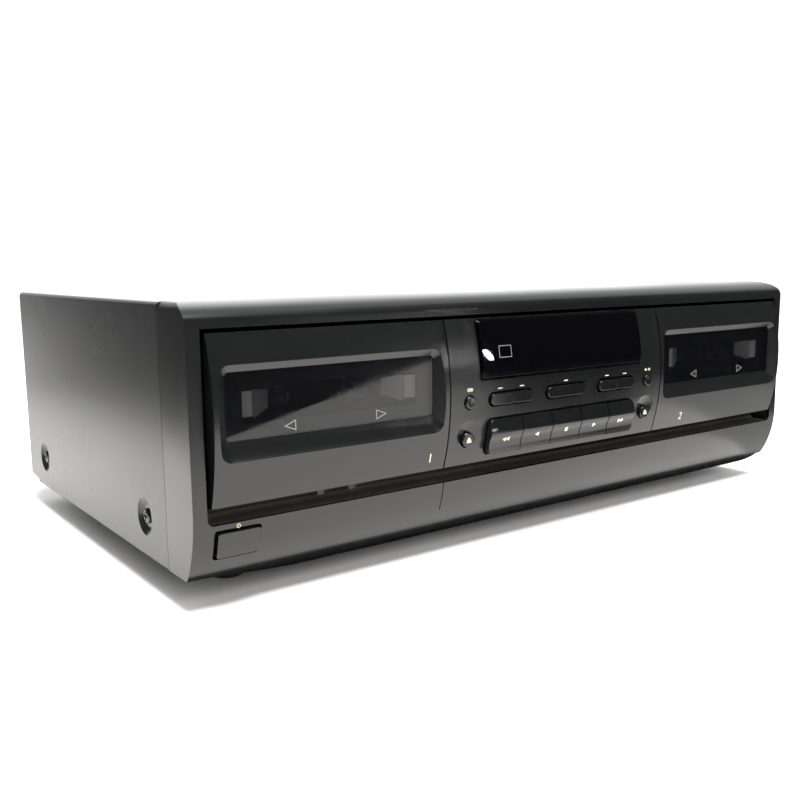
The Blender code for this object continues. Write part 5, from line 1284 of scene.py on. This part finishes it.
# %% Marks on the door buttons and windows
OPEN_HALF = 1.5 * MM
WINDOW_SHIFT = 24.5 * MM
WINDOW_RISE = 3.9 * MM
WINDOW_SIGN_W, WINDOW_SIGN_H = 5.8 * MM, 4.6 * MM
WINDOW_LINE = 0.24 * MM
for number in (1, 2):
    node = f"open_button_{number}"
    x, z, radius = round_place(node)
    face_y = cap_front(node)
    arrow = [(x - OPEN_HALF, z - 0.3 * MM), (x + OPEN_HALF, z - 0.3 * MM), (x, z + OPEN_HALF)]
    bar = rect(x - OPEN_HALF, x + OPEN_HALF, z - 1.3 * MM, z - 0.7 * MM)
    mark(f"{node}_sign", flat_faces([arrow, bar]), lambda height: face_y, node)
    left, right, glass_low, _ = door_glass(number)
    lens_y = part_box(f"door_{number}_window")[0].y
    arrows = [hollow(triangle((left + right) / 2 + way * WINDOW_SHIFT, glass_low + WINDOW_RISE, WINDOW_SIGN_W,
                              WINDOW_SIGN_H, way), WINDOW_LINE) for way in (-1, 1)]
    mark(f"door_{number}_arrows", join(arrows), lambda height: lens_y, f"door_{number}", ink_grey)

# %% Numbers on the doors, and marks on the panel
DOOR_NUMERAL_H = 4.6 * MM
NUMERAL_RISE = 6.8 * MM
for number, x in ((1, -91.0 * MM), (2, 106.5 * MM)):
    shape = numeral(str(number), x, door_low.z + NUMERAL_RISE, DOOR_NUMERAL_H)
    mark(f"door_{number}_numeral", shape, bulge_y, f"door_{number}")

DASH_HALF_W, DASH_HALF_H = 1.5 * MM, 0.225 * MM
DASH_RISE = 2.2 * MM
panel_marks = []
for nodes in PILLS:
    for node in nodes:
        x, z = middle(node)[0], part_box(node)[1].z + DASH_RISE
        panel_marks.append(rect(x - DASH_HALF_W, x + DASH_HALF_W, z - DASH_HALF_H, z + DASH_HALF_H))
x, z, radius = round_place("record_pause_button")
panel_marks.append(arc((x - 1.6 * MM, z + 6.2 * MM), 0.7 * MM, 0, 345, 23))
for shift in (0.5 * MM, 1.7 * MM):
    panel_marks.append(rect(x + shift, x + shift + 0.5 * MM, z + 5.5 * MM, z + 6.9 * MM))
mark("panel_marks", flat_faces(panel_marks), bulge_y)
x, z, radius = round_place("counter_reset_button")
mark("counter_numeral", numeral("000", x, z + 6.4 * MM, 1.7 * MM), bulge_y)

# %% Sensor square and power sign
SENSOR = (-49.6 * MM, -41.2 * MM, 102.6 * MM, 108.6 * MM)
SENSOR_LINE = 0.2 * MM
POWER_RISE = 2.0 * MM
POWER_RING_R = 1.0 * MM
POWER_LINE = 0.28 * MM
POWER_STROKE = 1.3 * MM
display_out = LENS_LAYERS[-1][0] * MM
mark("sensor_frame", hollow(rect(*SENSOR), SENSOR_LINE), lambda height: bulge_y(height, display_out),
     colour=ink_grey)

x, z = middle("power_button")[0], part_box("power_button")[1].z + POWER_RISE
outer, inner = (arc((x, z), radius, 125, 415, 28) for radius in (POWER_RING_R, POWER_RING_R - POWER_LINE))
power_sign = [[*pair, *reversed(below)] for pair, below in zip(zip(outer, outer[1:]), zip(inner, inner[1:]))]
power_sign.append(rect(x - POWER_LINE / 2, x + POWER_LINE / 2, z, z + POWER_STROKE))
mark("power_sign", flat_faces(power_sign), lower_y)

# %% [markdown]
# ## Feet
# A foot is a plastic cup with a rubber pad pressed into it. The cup tapers towards the floor, so that
# it hides behind the lip, and the pad has a shallow hollow that grips the table.

# %% Turn the feet
PAD_SHARE = 0.58
CUP_SHARE = 0.62


def make_foot(node):
    """A cup with its pad, spun round the foot's own middle."""
    low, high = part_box(node)
    x, y, _ = middle(node)
    radius, rise = (high.x - low.x) / 2, high.z
    pad, cup = radius * PAD_SHARE, radius * CUP_SHARE
    profile = [(0, 1.0 * MM), (pad * 0.6, 1.0 * MM), (pad * 0.7, 0)] + \
        [(pad - MM + a, b + MM) for a, b in arc((0, 0), MM, -90, 0, 5)] + \
        [(pad, 2.6 * MM), (cup, 2.8 * MM), (cup + 0.6 * MM, 6.5 * MM), (radius - 1.5 * MM, 8.0 * MM),
         (radius, 9.0 * MM), (radius, rise), (0, rise)]
    shape = lathe(profile, (x, y, 0), (0, 0, 1), 56)
    return piece(f"{node}_cup", shape, foot_rubber, "case", [node], 35)


for hand in ("left", "right"):
    for end in ("front", "rear"):
        make_foot(f"foot_{end}_{hand}")

# %% [markdown]
# ## Inside and behind
# The cassette holders show through the windows, so they need fine edges too. Each CAD node is left
# alone. A copy of it has its loose triangles merged first, and then its sharp edges are rounded.

# %% Round what shows inside
for number in (1, 2):
    holder = copied(f"door_{number}_cassette_holder")
    soften(holder, 0.25 * MM, 35, 2)
    piece(f"holder_{number}", holder, black_plastic, f"door_{number}",
          [f"door_{number}_cassette_holder"])

# %% [markdown]
# ## Rear sockets and screws
# A line socket is a plated shell with a plastic ring in it, white for the left channel and red for
# the right. Each is one profile spun about its own axis, with the nut as a step in that profile. The
# inlet's pins and the screws in the cover's rear lip are spun in the same way.

# %% Line sockets on the rear
SOCKET_PITCH = 19.0 * MM
BLOCK_BEHIND = 1.3 * MM
SHELL_R, SHELL_BORE, NUT_R = 4.2 * MM, 3.3 * MM, 6.0 * MM
NUT_H = 1.7 * MM
RING_BORE = 1.7 * MM
SHELL_FOOT = -2.6 * MM
EASE = 0.3 * MM


def make_sockets():
    """Four plated shells with coloured rings in them, on one moulded block."""
    low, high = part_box("line_jacks")
    panel_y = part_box("rear_panel")[1].y
    block = soften(box(low, (high.x, panel_y - BLOCK_BEHIND, high.z)), 0.6 * MM, 35, 3)
    piece("socket_block", block, black_plastic, "case", ["line_jacks"])
    reach = high.y - panel_y
    neck = SHELL_R - 0.1 * MM
    shell = [(SHELL_BORE, SHELL_FOOT), (neck, SHELL_FOOT), (neck, 0.1 * MM), (NUT_R, 0.1 * MM),
             (NUT_R, NUT_H - EASE), (NUT_R - EASE, NUT_H), (SHELL_R, NUT_H), (SHELL_R, reach - 0.4 * MM),
             (SHELL_R - EASE, reach), (SHELL_BORE + 0.2 * MM, reach), (SHELL_BORE, reach - EASE),
             (SHELL_BORE, SHELL_FOOT)]
    ring = [(RING_BORE, SHELL_FOOT), (SHELL_BORE, SHELL_FOOT), (SHELL_BORE, reach - 1.1 * MM),
            (RING_BORE + EASE, reach - 1.1 * MM), (RING_BORE, reach - 1.4 * MM), (RING_BORE, SHELL_FOOT)]
    x, _, z = middle("line_jacks")
    shells, rings = [], {-1: [], 1: []}
    for side in (-1, 1):
        for up in (-1, 1):
            centre = (x + side * SOCKET_PITCH / 2, panel_y, z + up * SOCKET_PITCH / 2)
            shells.append(lathe(shell, centre, (0, 1, 0), 48))
            rings[side].append(lathe(ring, centre, (0, 1, 0), 48))
    piece("socket_shells", join(shells), steel, "case", crease=30)
    piece("socket_rings_white", join(rings[1]), white_ring, "case", crease=30)
    piece("socket_rings_red", join(rings[-1]), red_ring, "case", crease=30)


make_sockets()

# %% Inlet pins and rear screws
PIN_R = 1.2 * MM
PIN_APART = 8.6 * MM
PIN_REACH = 10.0 * MM
CAVITY_DEPTH = 13.0 * MM
REAR_SCREWS = (-150 * MM, 0.0, 150 * MM)
REAR_SCREW_R = 2.9 * MM
REAR_CROSS = CROSS_L * 0.42
x, _, z = middle("mains_inlet")
pin_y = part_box("mains_inlet")[1].y - CAVITY_DEPTH
pin = [(0, -MM), (PIN_R, -MM), (PIN_R, PIN_REACH - 0.6 * MM), (PIN_R * 0.5, PIN_REACH), (0, PIN_REACH)]
pins = [lathe(pin, (x + side * PIN_APART / 2, pin_y, z), (0, 1, 0), 32) for side in (-1, 1)]
piece("inlet_pins", join(pins), steel, "case")
heads = []
for x in REAR_SCREWS:
    centre = Vector((x, cover_high.y, cover_high.z - LIP_H * 0.58))
    profile = dome(REAR_SCREW_R, HEAD_H, HEAD_H) + [(REAR_SCREW_R, -0.4 * MM), (0, -0.4 * MM)]
    bars = [box(centre + Vector((-a, 0.6 * MM, -b)), centre + Vector((a, 3 * MM, b)))
            for a, b in ((REAR_CROSS, CROSS_W / 2), (CROSS_W / 2, REAR_CROSS))]
    head = combine(lathe(profile, centre, (0, 1, 0), HEAD_STEPS), bars)
    heads.append(soften(head, 0.1 * MM, 35, 2))
piece("rear_screws", join(heads), screw_black, "case")

# %% [markdown]
# ## Nodes that stay
# The rest keeps its CAD shape, because little of it shows. Each node gets the finish of its material,
# with the grain of moulded, rolled or turned stock.

# %% Finish the CAD nodes that stay
KEPT_FINISHES = {
    "chassis_pan": dark_zinc, "rear_panel": cover_paint, "key_board": black_plastic,
    "display_tube": gloss_black, "main_board": board_lacquer, "transformer": core_iron,
    "mains_inlet": black_plastic,
}
for number in (1, 2):
    KEPT_FINISHES |= {f"mechanism_plate_{number}": dark_zinc, f"head_bridge_{number}": dark_zinc,
                      f"motor_{number}": zinc, f"motor_pulley_{number}": steel,
                      f"drive_belt_{number}": belt_rubber}
    for hand in ("left", "right"):
        KEPT_FINISHES[f"reel_spindle_{number}_{hand}"] = spindle_plastic
        KEPT_FINISHES[f"capstan_flywheel_{number}_{hand}"] = steel
for node, material in KEPT_FINISHES.items():
    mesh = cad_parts[node].data
    mesh.materials.clear()
    mesh.materials.append(material)
